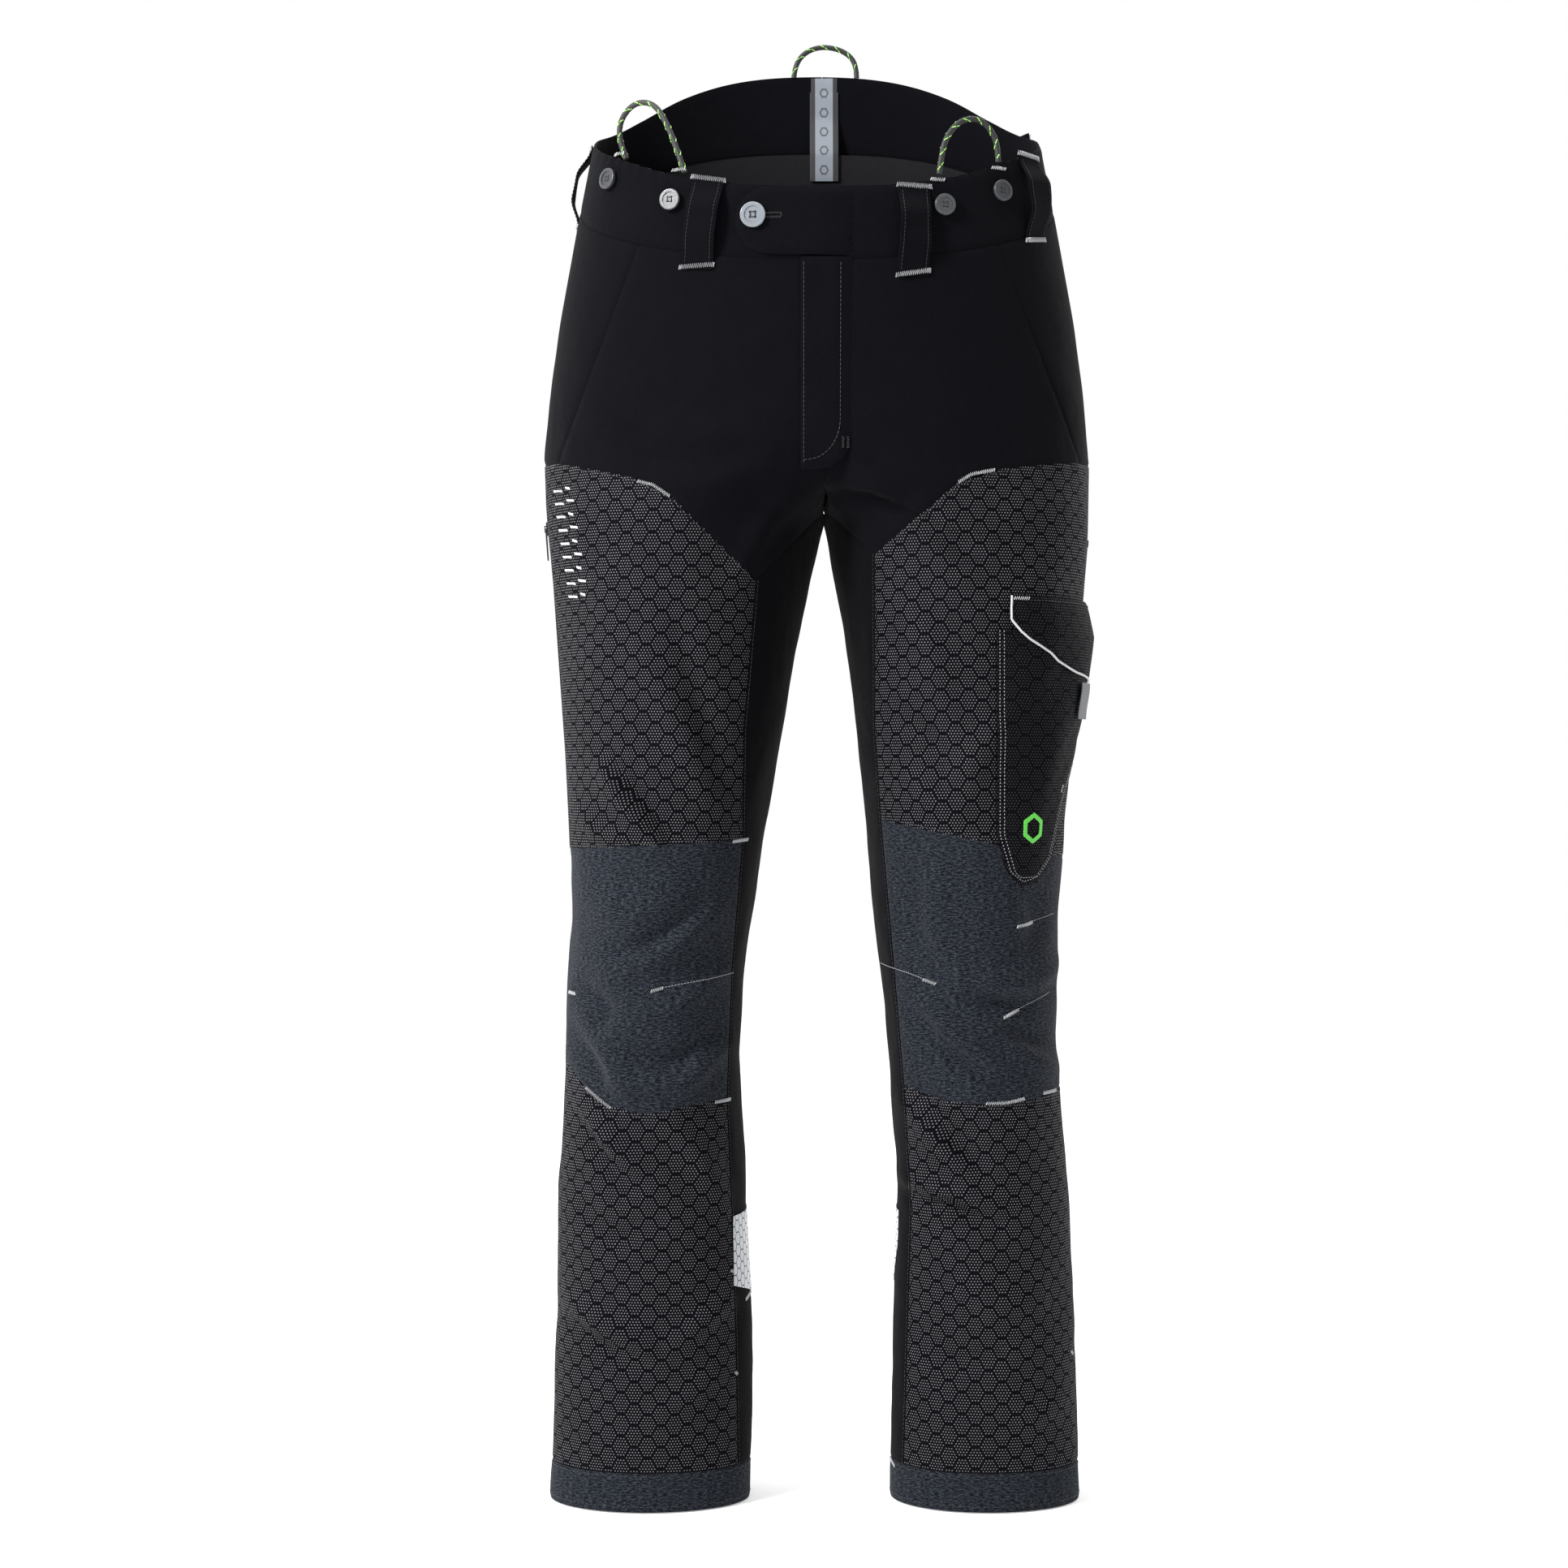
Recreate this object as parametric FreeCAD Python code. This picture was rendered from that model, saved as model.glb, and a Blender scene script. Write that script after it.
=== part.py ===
import FreeCAD, Part
import math
import os

# Chainsaw-protective work trousers, standing on their hems in their worn shape.
# Millimetres. +Z is up, the front faces -Y, the wearer's right leg is on the -X side.
# The origin is on the floor, in the middle of the trousers.

Vector = FreeCAD.Vector

# Thicknesses of the cloth layers, and how deep each lies below the outer surface
SHELL = 1.6
BAND = 3.4
HEM_BAND = 2.2
GUARD_OUT, GUARD_IN = 2.2, 7.2
POUCH_OUT, POUCH_IN = 2.0, 9.0
POUCH_WALL = 0.8
LINING_OUT, LINING_IN = 9.6, 10.2
LAYER_GAP = 0.3
SEAM_GAP = 0.3

# Heights above the floor, and the middle of the front and seat seams
HEM_HEIGHT = 31.0
LINING_LOW = 8.0
GUARD_LOW = 46.0
GUARD_DROP = 5.0
GUARD_PAST_MIDDLE, PAST_OUTER_EDGE = 30.0, 240.0
CROTCH_X = 6.0
CROTCH_Z = 806.0
SIDE_SEAM_FROM = 100.0
TOP_LIMIT = 1215.0
REACH = 400.0
RUN_OUT = 6.0
SECTION_POINTS = 28

# Sections of each leg from the floor up:
# height, outer edge x, inner edge x, depth in front of the side seam, depth behind it.
# Above the crotch the inner edge passes the middle, where each leg is cut off.
RIGHT_LEG = [
    (0, -220, -55, 62, 69),
    (60, -218, -53, 62, 71),
    (150, -214, -54, 65, 74),
    (255, -213, -58, 70, 72),
    (362, -205, -63, 78, 66),
    (415, -205, -61, 82, 66),
    (475, -201, -54, 86, 73),
    (549, -204, -43, 92, 85),
    (630, -208, -28, 99, 98),
    (709, -213, -14, 106, 112),
    (763, -218, -4, 110, 122),
    (802, -222, 5, 113, 128),
    (850, -224, 150, 115, 131),
    (900, -220, 185, 115, 131),
    (963, -211, 200, 115, 130),
    (1040, -197, 197, 115, 127),
    (1111, -183, 183, 115, 121),
    (TOP_LIMIT, -178, 178, 115, 121),
]
LEFT_LEG = [
    (0, 216, 60, 62, 69),
    (60, 214, 61, 62, 71),
    (150, 211, 63, 65, 74),
    (255, 206, 66, 70, 72),
    (362, 197, 60, 78, 66),
    (415, 197, 54, 82, 66),
    (475, 198, 46, 86, 73),
    (549, 203, 40, 92, 85),
    (630, 210, 33, 99, 98),
    (709, 217, 22, 106, 112),
    (763, 221, 14, 110, 122),
    (802, 223, 7, 113, 128),
    (850, 224, -138, 115, 131),
    (900, 220, -173, 115, 131),
    (963, 211, -190, 115, 130),
    (1040, 197, -197, 115, 127),
    (1111, 183, -183, 115, 121),
    (TOP_LIMIT, 178, -178, 115, 121),
]
LEGS = {"right": RIGHT_LEG, "left": LEFT_LEG}
SIGN = {"right": -1, "left": 1}
FRONT_DEPTH = 115.0

# Seam lines as (distance from the middle towards the leg's own side, height)
INNER_SEAM = {
    "right": [(49, 747), (59, 628), (60, 540), (69, 434), (73, 331), (69, 240), (66, 140), (64, 30)],
    "left": [(45, 768), (46, 628), (51, 556), (62, 434), (70, 341), (76, 240), (73, 140), (70, 30)],
}
THIGH_TOP = {
    "right": [(240, 848), (209, 843), (143, 826), (117, 812), (49, 747)],
    "left": [(240, 847), (218, 845), (140, 833), (110, 822), (45, 768)],
}
GROIN_SEAM = {
    "right": [(49, 747), (-CROTCH_X, CROTCH_Z), (-30, CROTCH_Z)],
    "left": [(45, 768), (CROTCH_X, CROTCH_Z), (-30, CROTCH_Z)],
}
KNEE_TOP = {
    "right": [(240, 530), (194, 533), (60, 540)],
    "left": [(240, 520), (200, 526), (141, 537), (92, 547), (51, 556)],
}
KNEE_LOW = {
    "right": [(240, 372), (202, 356), (187, 340), (166, 327), (141, 321), (73, 331)],
    "left": [(240, 338), (193, 336), (166, 331), (135, 329), (99, 331), (70, 341)],
}
SLASH = {
    "right": [(134, 1034), (209, 842.6)],
    "left": [(134, 1034), (212, 843.6)],
}
SEAT_SEAM = {
    "right": [(-30, CROTCH_Z), (-CROTCH_X, CROTCH_Z), (60, 812), (240, 852)],
    "left": [(-30, CROTCH_Z), (CROTCH_X, CROTCH_Z), (60, 812), (240, 852)],
}

# The waist edge and the waistband's lower seam, seen from the side as (y, height)
WAIST_EDGE = [(-150, 1030), (-115, 1054), (-100, 1065), (-66, 1087), (0, 1113), (50, 1130),
              (79, 1149), (101, 1173), (121, 1196), (150, 1226)]
BAND_SEAM = [(-150, 974), (-115, 997), (-80, 1018), (0, 1059), (60, 1089), (121, 1130), (150, 1150)]

# The stretch of y that holds the trunk's front wall
WALL_NEAR, WALL_FAR = -60.0, -160.0

# The fly: a flap over a zip in the front seam
FLY_LOW, FLY_HIGH = 832.0, 993.0
PLACKET_LEFT, PLACKET_RIGHT = -14.0, 27.0
PLACKET_OFF = 1.6
PLACKET_CURVE = 28.0
FLY_SLOT = 10.0
FLY_ZIP_LOW, FLY_ZIP_HIGH = 862.0, 988.0
FLY_SLOT_LOW = 836.0
FLY_SLIDER_REST = 976.0
FLY_TAPE_DEPTH = 4.8
FLY_TAPE_HALF = 15.0
UNDERLAP_OUT, UNDERLAP_IN = 7.4, 8.8
UNDERLAP_LEFT, UNDERLAP_RIGHT = -14.0, 24.0

# Zip parts: a coil on a tape, a channel-shaped slider and a puller under the slider's bridge
TAPE_THICK = 0.6
COIL_HALF, COIL_HIGH = 2.8, 1.5
SLIDER_LONG, SLIDER_HALF, SLIDER_WALL = 11.0, 4.4, 1.3
SLIDER_LIFT = 0.3
BRIDGE_HALF, BRIDGE_LONG, BRIDGE_WALL, BRIDGE_HIGH = 1.6, 5.6, 0.8, 1.8
PIN_RADIUS = 0.45
PULLER_HALF, PULLER_ARM, PULLER_LONG = 4.0, 1.2, 26.0

# Vent zips in the side seams of the thighs
VENT_TOP, VENT_LOW = 816.0, 566.0
VENT_Y = 12.0
VENT_HALF = 8.0
VENT_DEPTH = 1.0
VENT_END_ROOM = 8.0
VENT_REST = {"right": 796.0, "left": 784.0}

# Waist fastening, buttons and belt loops
BAND_MEETS = 2.0
TAB_LEFT, TAB_RIGHT = -66.0, 27.0
TAB_LOW, TAB_HIGH = 990.0, 1068.0
TAB_END_Z = 1028.0
TAB_OFF, TAB_THICK = 0.4, 2.6
TAB_RADIUS = 27.0
BUTTON_X, BUTTON_Z = -51.0, 1031.0
BUTTON_HOLE, BUTTON_SLIT = 22.0, 2.6
BUTTON_HOLE_SHIFT = 3.0
WAIST_BUTTON_RADIUS = 10.0
BRACE_BUTTON_RADIUS = 8.5
BUTTON_THICK = 3.0
BUTTON_LIFT = 0.1
BUTTON_EDGE = 0.7
WELL_SHARE, WELL_DEPTH = 0.68, 0.8
HOLE_SHARE, HOLE_SPREAD = 0.1, 0.2
SHANK_RADIUS = 1.0
SHANK_LONG = 1.8
BRACE_BUTTONS = {
    "brace_button_right_side": (-166, 1069, -1),
    "brace_button_right_front": (-116, 1046, -1),
    "brace_button_left_front": (99, 1041, -1),
    "brace_button_left_side": (145, 1056, -1),
    "brace_button_right_back": (-33, 1166, 1),
    "brace_button_left_back": (39, 1166, 1),
}
LOOP_WIDE, LOOP_LONG, LOOP_THICK = 26.0, 74.0, 1.8
LOOP_GAP = 7.4
LOOP_SEWN = 7.0
LOOP_RISE = 9.0
STRAP_CLEAR = 0.1
BELT_LOOPS = {
    "belt_loop_right_front": (-91, 1027, -1),
    "belt_loop_left_front": (75, 1021, -1),
    "belt_loop_left_side": (172, 1055, -1),
    "belt_loop_right_side": (-190.3, 1074, 1),
    "belt_loop_left_back": (176, 1093, 1),
    "belt_loop_right_back": (-140, 1108, 1),
}

# Pockets
POUCH = [(104, 1000), (178, 1000), (209, 874), (198, 856), (122, 856), (104, 872)]
POUCH_CORE = [(106, 998), (177, 998), (207, 874), (197, 858), (123, 858), (106, 873)]
SLIT_HALF = 3.2
SLIT_LOW, SLIT_HIGH = 868.0, 994.0
CARGO_OUTLINE = [(140, 700), (141, 545), (150, 515), (162, 503), (176, 507), (188, 523),
                 (198, 570), (208, 600), (230, 606), (230, 700)]
CARGO_CORE = [(142, 720), (143, 546), (152, 517), (163, 506), (175, 510), (186, 525),
              (196, 572), (205, 603), (230, 609), (230, 720)]
CARGO_NEAR, CARGO_DEEP, CARGO_WALL = 0.3, 8.4, 0.9
FLAP_TOP, FLAP_LOW, FLAP_BEND = 734.0, 669.0, 704.0
FLAP_NEAR, FLAP_CLEAR, FLAP_THICK = 0.4, 8.9, 1.6
FLAP_OUTLINE = [(152, 734), (149, 715), (163, 700), (178, 690), (184, 684), (199, 675),
                (240, 669), (240, 734)]
PULL_TAB_WIDE, PULL_TAB_LONG, PULL_TAB_THICK = 26.0, 30.0, 1.4
PULL_TAB_X = 207.0

# Silver patches round the backs of the calves
PATCH_OUT, PATCH_IN = 1.1, 0.3
PATCH = {
    "right": [(30, 246), (150, 252), (240, 262), (240, 238), (190, 228), (150, 204), (110, 184),
              (70, 180), (30, 186)],
    "left": [(30, 246), (150, 252), (240, 262), (240, 238), (186, 228), (150, 204), (110, 184),
             (78, 180), (30, 186)],
}
PATCH_START = 2.0

# Tape down the inside of the centre-back seam
TAPE_HALF = 10.5
TAPE_X = 7.5
TAPE_LOW, TAPE_FOLD = 1104.0, 1182.0
TAPE_LAYER = 0.9

# Cord loops in the waist edge. Each route lists its points from one foot to the other.
CORD_RADIUS = 2.25
ARC_SHARE = 0.45
CORDS = {
    "cord_loop_right": [
        (-153.0, -71.9, 1084.6), (-159.0, -69.0, 1099.5), (-158.0, -69.5, 1116.5), (-146.0, -75.5, 1129.0),
        (-130.0, -84.5, 1126.0), (-119.5, -91.0, 1108.0), (-111.5, -96.0, 1086.5), (-105.5, -99.3, 1068.0),
    ],
    "cord_loop_left": [
        (95.5, -102.0, 1066.2), (97.0, -101.3, 1080.0), (101.0, -99.5, 1096.0), (112.5, -94.4, 1110.5),
        (128.0, -87.4, 1113.5), (139.5, -82.3, 1103.0), (143.2, -80.6, 1090.5), (143.5, -80.5, 1080.2),
    ],
    "cord_loop_back": [
        (-18.5, 118.3, 1194.9), (-17.5, 118.6, 1206.0), (-9.0, 119.0, 1217.5), (5.0, 119.3, 1222.5),
        (21.0, 119.0, 1220.0), (31.5, 118.8, 1213.0), (35.5, 118.3, 1203.5), (35.7, 118.0, 1194.9),
    ],
}


# ---- surfaces -------------------------------------------------------------------------

def blend_row(leg, height):
    """The leg's section at any height, between the two stations beside it."""
    rows = LEGS[leg]
    for low, high in zip(rows, rows[1:]):
        if height <= high[0]:
            share = (height - low[0]) / (high[0] - low[0])
            return tuple(a + (b - a) * share for a, b in zip(low, high))
    return rows[-1]


def squareness(height):
    """The trunk is a little squarer in plan than the legs."""
    return 2 / (2 + 0.3 * min(max((height - 760) / 120, 0), 1))


def curve_point(row, angle, inset=0.0):
    """A point on a section: angle 0 is the +X side and a quarter turn is the back."""
    height, outer, inner, front, back = row
    power = squareness(height)
    half = abs(outer - inner) / 2 - inset
    across = math.copysign(abs(math.cos(angle)) ** power, math.cos(angle))
    deep = math.copysign(abs(math.sin(angle)) ** power, math.sin(angle))
    depth = (back if deep > 0 else front) - inset
    return Vector((outer + inner) / 2 + half * across, depth * deep, height)


def angle_at(row, x, way):
    """The angle of the point at x, on the front (way -1) or the back (way 1)."""
    height, outer, inner, front, back = row
    share = (x - (outer + inner) / 2) / (abs(outer - inner) / 2)
    share = min(max(share, -0.9999), 0.9999)
    cosine = math.copysign(abs(share) ** (1 / squareness(height)), share)
    return way * math.acos(cosine)


def surface_frame(leg, x, height, way):
    """Origin, sideways, upward and outward directions on the outer surface."""
    row = blend_row(leg, height)
    angle = angle_at(row, x, way)
    here = curve_point(row, angle)
    along = curve_point(row, angle + 0.02) - curve_point(row, angle - 0.02)
    rise = curve_point(blend_row(leg, height + 20), angle) - curve_point(blend_row(leg, height - 20), angle)
    outward = along.cross(rise)
    outward.normalize()
    side = Vector(-outward.y, outward.x, 0)
    side.normalize()
    up = outward.cross(side)
    return here, side, up, outward


def set_down(shape, frame):
    """Carry a shape drawn as (sideways, outward, upward) onto a frame."""
    here, side, up, outward = frame
    turn = FreeCAD.Matrix(side.x, -outward.x, up.x, here.x,
                          side.y, -outward.y, up.y, here.y,
                          side.z, -outward.z, up.z, here.z,
                          0, 0, 0, 1)
    placed = shape.copy()
    placed.Placement = FreeCAD.Placement(turn)
    return placed


def section(row, inset):
    angles = [2 * math.pi * step / SECTION_POINTS for step in range(SECTION_POINTS)]
    points = [curve_point(row, angle, inset) for angle in angles]
    curve = Part.BSplineCurve()
    curve.interpolate(points, PeriodicFlag=True)
    return Part.Wire([curve.toShape()])


def tube(leg, inset, run_out=0.0):
    """The solid inside a leg's surface, moved in by inset or out if that is negative."""
    rows = list(LEGS[leg])
    low = (rows[0][0] - run_out,) + rows[0][1:]
    high = (rows[-1][0] + run_out,) + rows[-1][1:]
    rows = [low] + rows[1:-1] + [high]
    return Part.makeLoft([section(row, inset) for row in rows], True, True)


def layer(leg, outer, inner):
    """The cloth between two depths below a leg's surface, up to the middle of the trunk."""
    cloth = tube(leg, outer).cut(tube(leg, inner, RUN_OUT))
    return cloth.common(own_half(leg))


# ---- cutters --------------------------------------------------------------------------

def box(x0, x1, y0, y1, z0, z1):
    return Part.makeBox(x1 - x0, y1 - y0, z1 - z0, Vector(x0, y0, z0))


def own_half(leg):
    gap = SEAM_GAP / 2
    if leg == "right":
        return box(-REACH, CROTCH_X - gap, -REACH, REACH, -RUN_OUT, TOP_LIMIT + RUN_OUT)
    return box(CROTCH_X + gap, REACH, -REACH, REACH, -RUN_OUT, TOP_LIMIT + RUN_OUT)


def prism_y(points, y0, y1):
    """A column along Y with its outline given as (x, z)."""
    corners = [Vector(x, y0, z) for x, z in points]
    face = Part.Face(Part.makePolygon(corners + corners[:1]))
    return face.extrude(Vector(0, y1 - y0, 0))


def on_side(leg, points):
    return [(SIGN[leg] * distance, height) for distance, height in points]


def seam_wall(leg, points, y0, y1, width=SEAM_GAP):
    """A thin wall along a seam line, which parts the cloth on its two sides."""
    line = [Vector(x, 0, z) for x, z in on_side(leg, points)]
    above = []
    below = []
    for index, spot in enumerate(line):
        before = spot - line[index - 1] if index else line[1] - spot
        after = line[index + 1] - spot if index + 1 < len(line) else before
        before.normalize()
        after.normalize()
        mitre = before + after
        mitre.normalize()
        out = Vector(-mitre.z, 0, mitre.x) * (width / 2 / mitre.dot(before))
        above.append(spot + out)
        below.append(spot - out)
    return prism_y([(spot.x, spot.z) for spot in above + below[::-1]], y0, y1)


def profile_prism(points, shift, above):
    """Everything above or below a line that is seen from the side."""
    spots = [Vector(-REACH, y, z + shift) for y, z in points]
    curve = Part.BSplineCurve()
    curve.interpolate(spots)
    level = TOP_LIMIT + 60 if above else -60
    start = Vector(-REACH, spots[0].y, level)
    end = Vector(-REACH, spots[-1].y, level)
    edges = [curve.toShape(), Part.makeLine(spots[-1], end), Part.makeLine(end, start),
             Part.makeLine(start, spots[0])]
    return Part.Face(Part.Wire(edges)).extrude(Vector(2 * REACH, 0, 0))


def piece_at(shape, x, z, way):
    """The one solid of a parted shell that lies at x and z, in front (-1) or behind (1)."""
    probe = Part.makeLine(Vector(x, 0.5 * way, z), Vector(x, REACH * way, z))
    for solid in shape.Solids:
        if solid.distToShape(probe)[0] < 1e-6:
            return solid
    raise ValueError("no cloth at %s, %s" % (x, z))


def save(name, shape):
    solids = shape.Solids
    if len(solids) != 1 or not shape.isValid():
        print("CHECK", name, len(solids), "solids", "valid" if shape.isValid() else "NOT VALID")
    if len(solids) == 1:
        shape = solids[0]
    shape.exportStep("parts/%s.step" % name)


# ---- shell panels ---------------------------------------------------------------------

def vent_frame(leg):
    """The straight line of the vent zip, a little under the thigh's outer surface."""
    side = SIGN[leg]
    ends = []
    for height in (VENT_LOW, VENT_TOP):
        row = blend_row(leg, height)
        ends.append(Vector(row[1] - side * VENT_DEPTH, VENT_Y, height))
    up = ends[1] - ends[0]
    up.normalize()
    sideways = Vector(0, side, 0)
    outward = sideways.cross(up)
    return ends, sideways, up, outward


def at_height(leg, height):
    """The vent zip's frame with its origin at one height."""
    ends, sideways, up, outward = vent_frame(leg)
    here = ends[0] + up * ((height - ends[0].z) / up.z)
    return here, sideways, up, outward


def make_shell(leg):
    side = SIGN[leg]
    shell = layer(leg, 0, SHELL)
    shell = shell.common(box(-REACH, REACH, -REACH, REACH, HEM_HEIGHT + SEAM_GAP, TOP_LIMIT))
    body = shell.common(profile_prism(BAND_SEAM, -SEAM_GAP, False))
    near, far = sorted((side * SIDE_SEAM_FROM, side * REACH))
    body = body.cut(box(near, far, -SEAM_GAP / 2, SEAM_GAP / 2, -RUN_OUT, TOP_LIMIT))
    for seam in (INNER_SEAM, THIGH_TOP, GROIN_SEAM, KNEE_TOP, KNEE_LOW, SLASH):
        body = body.cut(seam_wall(leg, seam[leg], -REACH, 0))
    body = body.cut(seam_wall(leg, SEAT_SEAM[leg], 0, REACH))
    body = body.cut(slit(leg))
    body = body.cut(box(CROTCH_X - FLY_SLOT / 2, CROTCH_X + FLY_SLOT / 2, -REACH, WALL_NEAR,
                        FLY_SLOT_LOW, TOP_LIMIT))
    long_way = (VENT_TOP - VENT_LOW) / 2 + VENT_END_ROOM
    through = 30
    opening = box(-VENT_HALF, VENT_HALF, -through, through, -long_way, long_way)
    body = body.cut(set_down(opening, at_height(leg, (VENT_TOP + VENT_LOW) / 2)))
    save("front_panel_" + leg, piece_at(body, side * 80, 900, -1))
    save("pocket_facing_" + leg, piece_at(body, side * 200, 960, -1))
    save("thigh_panel_" + leg, piece_at(body, side * 120, 700, -1))
    save("knee_panel_" + leg, piece_at(body, side * 120, 440, -1))
    save("shin_panel_" + leg, piece_at(body, side * 140, 200, -1))
    save("back_leg_" + leg, piece_at(body, side * 120, 500, 1))
    save("seat_" + leg, piece_at(body, side * 100, 950, 1))


def slit(leg):
    """The open stretch of the hand pocket's mouth."""
    (d0, z0), (d1, z1) = SLASH[leg]
    slope = (d1 - d0) / (z1 - z0)
    line = [(d0 + (z - z0) * slope, z) for z in (SLIT_HIGH, SLIT_LOW)]
    return seam_wall(leg, line, -REACH, 0, 2 * SLIT_HALF)


def make_hand_pocket(leg):
    """A flat bag behind the front panel, open along the slit."""
    front = box(-REACH, REACH, -REACH, -0.5, 0, TOP_LIMIT)
    bag = layer(leg, POUCH_OUT, POUCH_IN).common(prism_y(on_side(leg, POUCH), -REACH, -0.5))
    inside = layer(leg, POUCH_OUT + POUCH_WALL, POUCH_IN - POUCH_WALL)
    inside = inside.common(prism_y(on_side(leg, POUCH_CORE), -REACH, 0))
    mouth = tube(leg, 0).cut(tube(leg, POUCH_IN - POUCH_WALL, RUN_OUT)).common(slit(leg))
    save("hand_pocket_" + leg, bag.cut([inside, mouth]).common(front))


def make_hem(leg):
    band = tube(leg, 0).cut(tube(leg, HEM_BAND, RUN_OUT))
    save("hem_band_" + leg, band.common(box(-REACH, REACH, -REACH, REACH, 0, HEM_HEIGHT)))


def make_patch(leg):
    skin = tube(leg, -PATCH_OUT).cut(tube(leg, -PATCH_IN, RUN_OUT))
    outline = on_side(leg, PATCH[leg])
    save("calf_patch_" + leg, skin.common(prism_y(outline, PATCH_START, REACH)))


def make_guard(leg):
    """The saw-stopping pad in the front of the leg."""
    top = on_side(leg, THIGH_TOP[leg])
    outline = [(x, z - GUARD_DROP) for x, z in top]
    inner_x = -SIGN[leg] * GUARD_PAST_MIDDLE
    outer_x = SIGN[leg] * PAST_OUTER_EDGE
    outline += [(inner_x, outline[-1][1]), (inner_x, GUARD_LOW), (outer_x, GUARD_LOW)]
    pad = layer(leg, GUARD_OUT, GUARD_IN)
    save("saw_guard_" + leg, pad.common(prism_y(outline, -REACH, -2.0)))


def make_lining(leg):
    cloth = layer(leg, LINING_OUT, LINING_IN)
    cloth = cloth.common(profile_prism(BAND_SEAM, -2.0, False))
    save("lining_" + leg, cloth.common(box(-REACH, REACH, -REACH, REACH, LINING_LOW, TOP_LIMIT)))


# ---- waist ----------------------------------------------------------------------------

def make_waistband():
    below_edge = profile_prism(WAIST_EDGE, 0, False)
    above_seam = profile_prism(BAND_SEAM, 0, True)
    gap = SEAM_GAP / 2
    places = {
        "back_yoke": ("right", box(-REACH, REACH, gap, REACH, 0, TOP_LIMIT)),
        "waistband_right": ("right", box(-REACH, BAND_MEETS - gap, -REACH, -gap, 0, TOP_LIMIT)),
        "waistband_left": ("left", box(BAND_MEETS + gap, REACH, -REACH, -gap, 0, TOP_LIMIT)),
    }
    for name, (leg, place) in places.items():
        band = tube(leg, 0).cut(tube(leg, BAND, RUN_OUT)).common(place)
        save(name, band.common(above_seam).common(below_edge))


def make_waist_tab():
    skin = tube("right", -TAB_OFF - TAB_THICK).cut(tube("right", -TAB_OFF, RUN_OUT))
    skin = skin.common(profile_prism(BAND_SEAM, 1.0, True)).common(profile_prism(WAIST_EDGE, -1.0, False))
    round_x = TAB_LEFT + TAB_RADIUS
    start = Vector(round_x, WALL_FAR, TAB_END_Z)
    end = Part.makeCylinder(TAB_RADIUS, WALL_NEAR - WALL_FAR, start, Vector(0, 1, 0))
    straight = box(round_x, TAB_RIGHT, WALL_FAR, WALL_NEAR, TAB_LOW, TAB_HIGH)
    tab = skin.common(straight.fuse(end))
    hole_left = BUTTON_X - BUTTON_HOLE_SHIFT
    hole = box(hole_left, hole_left + BUTTON_HOLE, WALL_FAR, WALL_NEAR,
               BUTTON_Z - BUTTON_SLIT / 2, BUTTON_Z + BUTTON_SLIT / 2)
    save("waist_tab", tab.cut(hole))


def button(radius, shank):
    """A four-hole button with a raised rim, on its thread shank, drawn lying at y = 0."""
    out = Vector(0, -1, 0)
    disc = Part.makeCylinder(radius, BUTTON_THICK, Vector(0, -shank, 0), out)
    disc = disc.makeFillet(BUTTON_EDGE, disc.Edges)
    bottom = Vector(0, -shank - BUTTON_THICK + WELL_DEPTH, 0)
    well = Part.makeCylinder(radius * WELL_SHARE, BUTTON_THICK, bottom, out)
    spread = radius * HOLE_SPREAD
    holes = [Part.makeCylinder(radius * HOLE_SHARE, BUTTON_THICK + 2, Vector(x, -shank + 1, z), out)
             for x in (-spread, spread) for z in (-spread, spread)]
    stem = Part.makeCylinder(SHANK_RADIUS, shank + BUTTON_EDGE, Vector(0, 0, 0), out)
    return disc.cut([well] + holes).fuse(stem)


def make_buttons():
    for name, (x, z, way) in BRACE_BUTTONS.items():
        leg = "right" if x < 0 else "left"
        here, side, up, outward = surface_frame(leg, x, z, way)
        frame = (here + outward * BUTTON_LIFT, side, up, outward)
        save(name, set_down(button(BRACE_BUTTON_RADIUS, SHANK_LONG), frame))
    here, side, up, outward = surface_frame("right", BUTTON_X, BUTTON_Z, -1)
    frame = (here + outward * BUTTON_LIFT, side, up, outward)
    reach = TAB_OFF + TAB_THICK + BUTTON_EDGE
    save("waist_button", set_down(button(WAIST_BUTTON_RADIUS, reach), frame))


def make_belt_loops():
    """A strap sewn down at both ends that stands off for the belt between them."""
    half = LOOP_LONG / 2
    sewn = half - LOOP_SEWN
    raised = sewn - LOOP_RISE
    top = LOOP_GAP + LOOP_THICK
    inner = [(half, STRAP_CLEAR), (sewn, STRAP_CLEAR), (raised, LOOP_GAP),
             (-raised, LOOP_GAP), (-sewn, STRAP_CLEAR), (-half, STRAP_CLEAR)]
    outer = [(-half, LOOP_THICK), (-sewn - 1, LOOP_THICK), (-raised - 1, top),
             (raised + 1, top), (sewn + 1, LOOP_THICK), (half, LOOP_THICK)]
    corners = [Vector(-LOOP_WIDE / 2, -out, z) for z, out in inner + outer]
    strap = Part.Face(Part.makePolygon(corners + corners[:1])).extrude(Vector(LOOP_WIDE, 0, 0))
    body = {leg: tube(leg, -STRAP_CLEAR) for leg in LEGS}
    for name, (x, z, way) in BELT_LOOPS.items():
        leg = "right" if x < 0 else "left"
        save(name, set_down(strap, surface_frame(leg, x, z, way)).cut(body[leg]))


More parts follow.
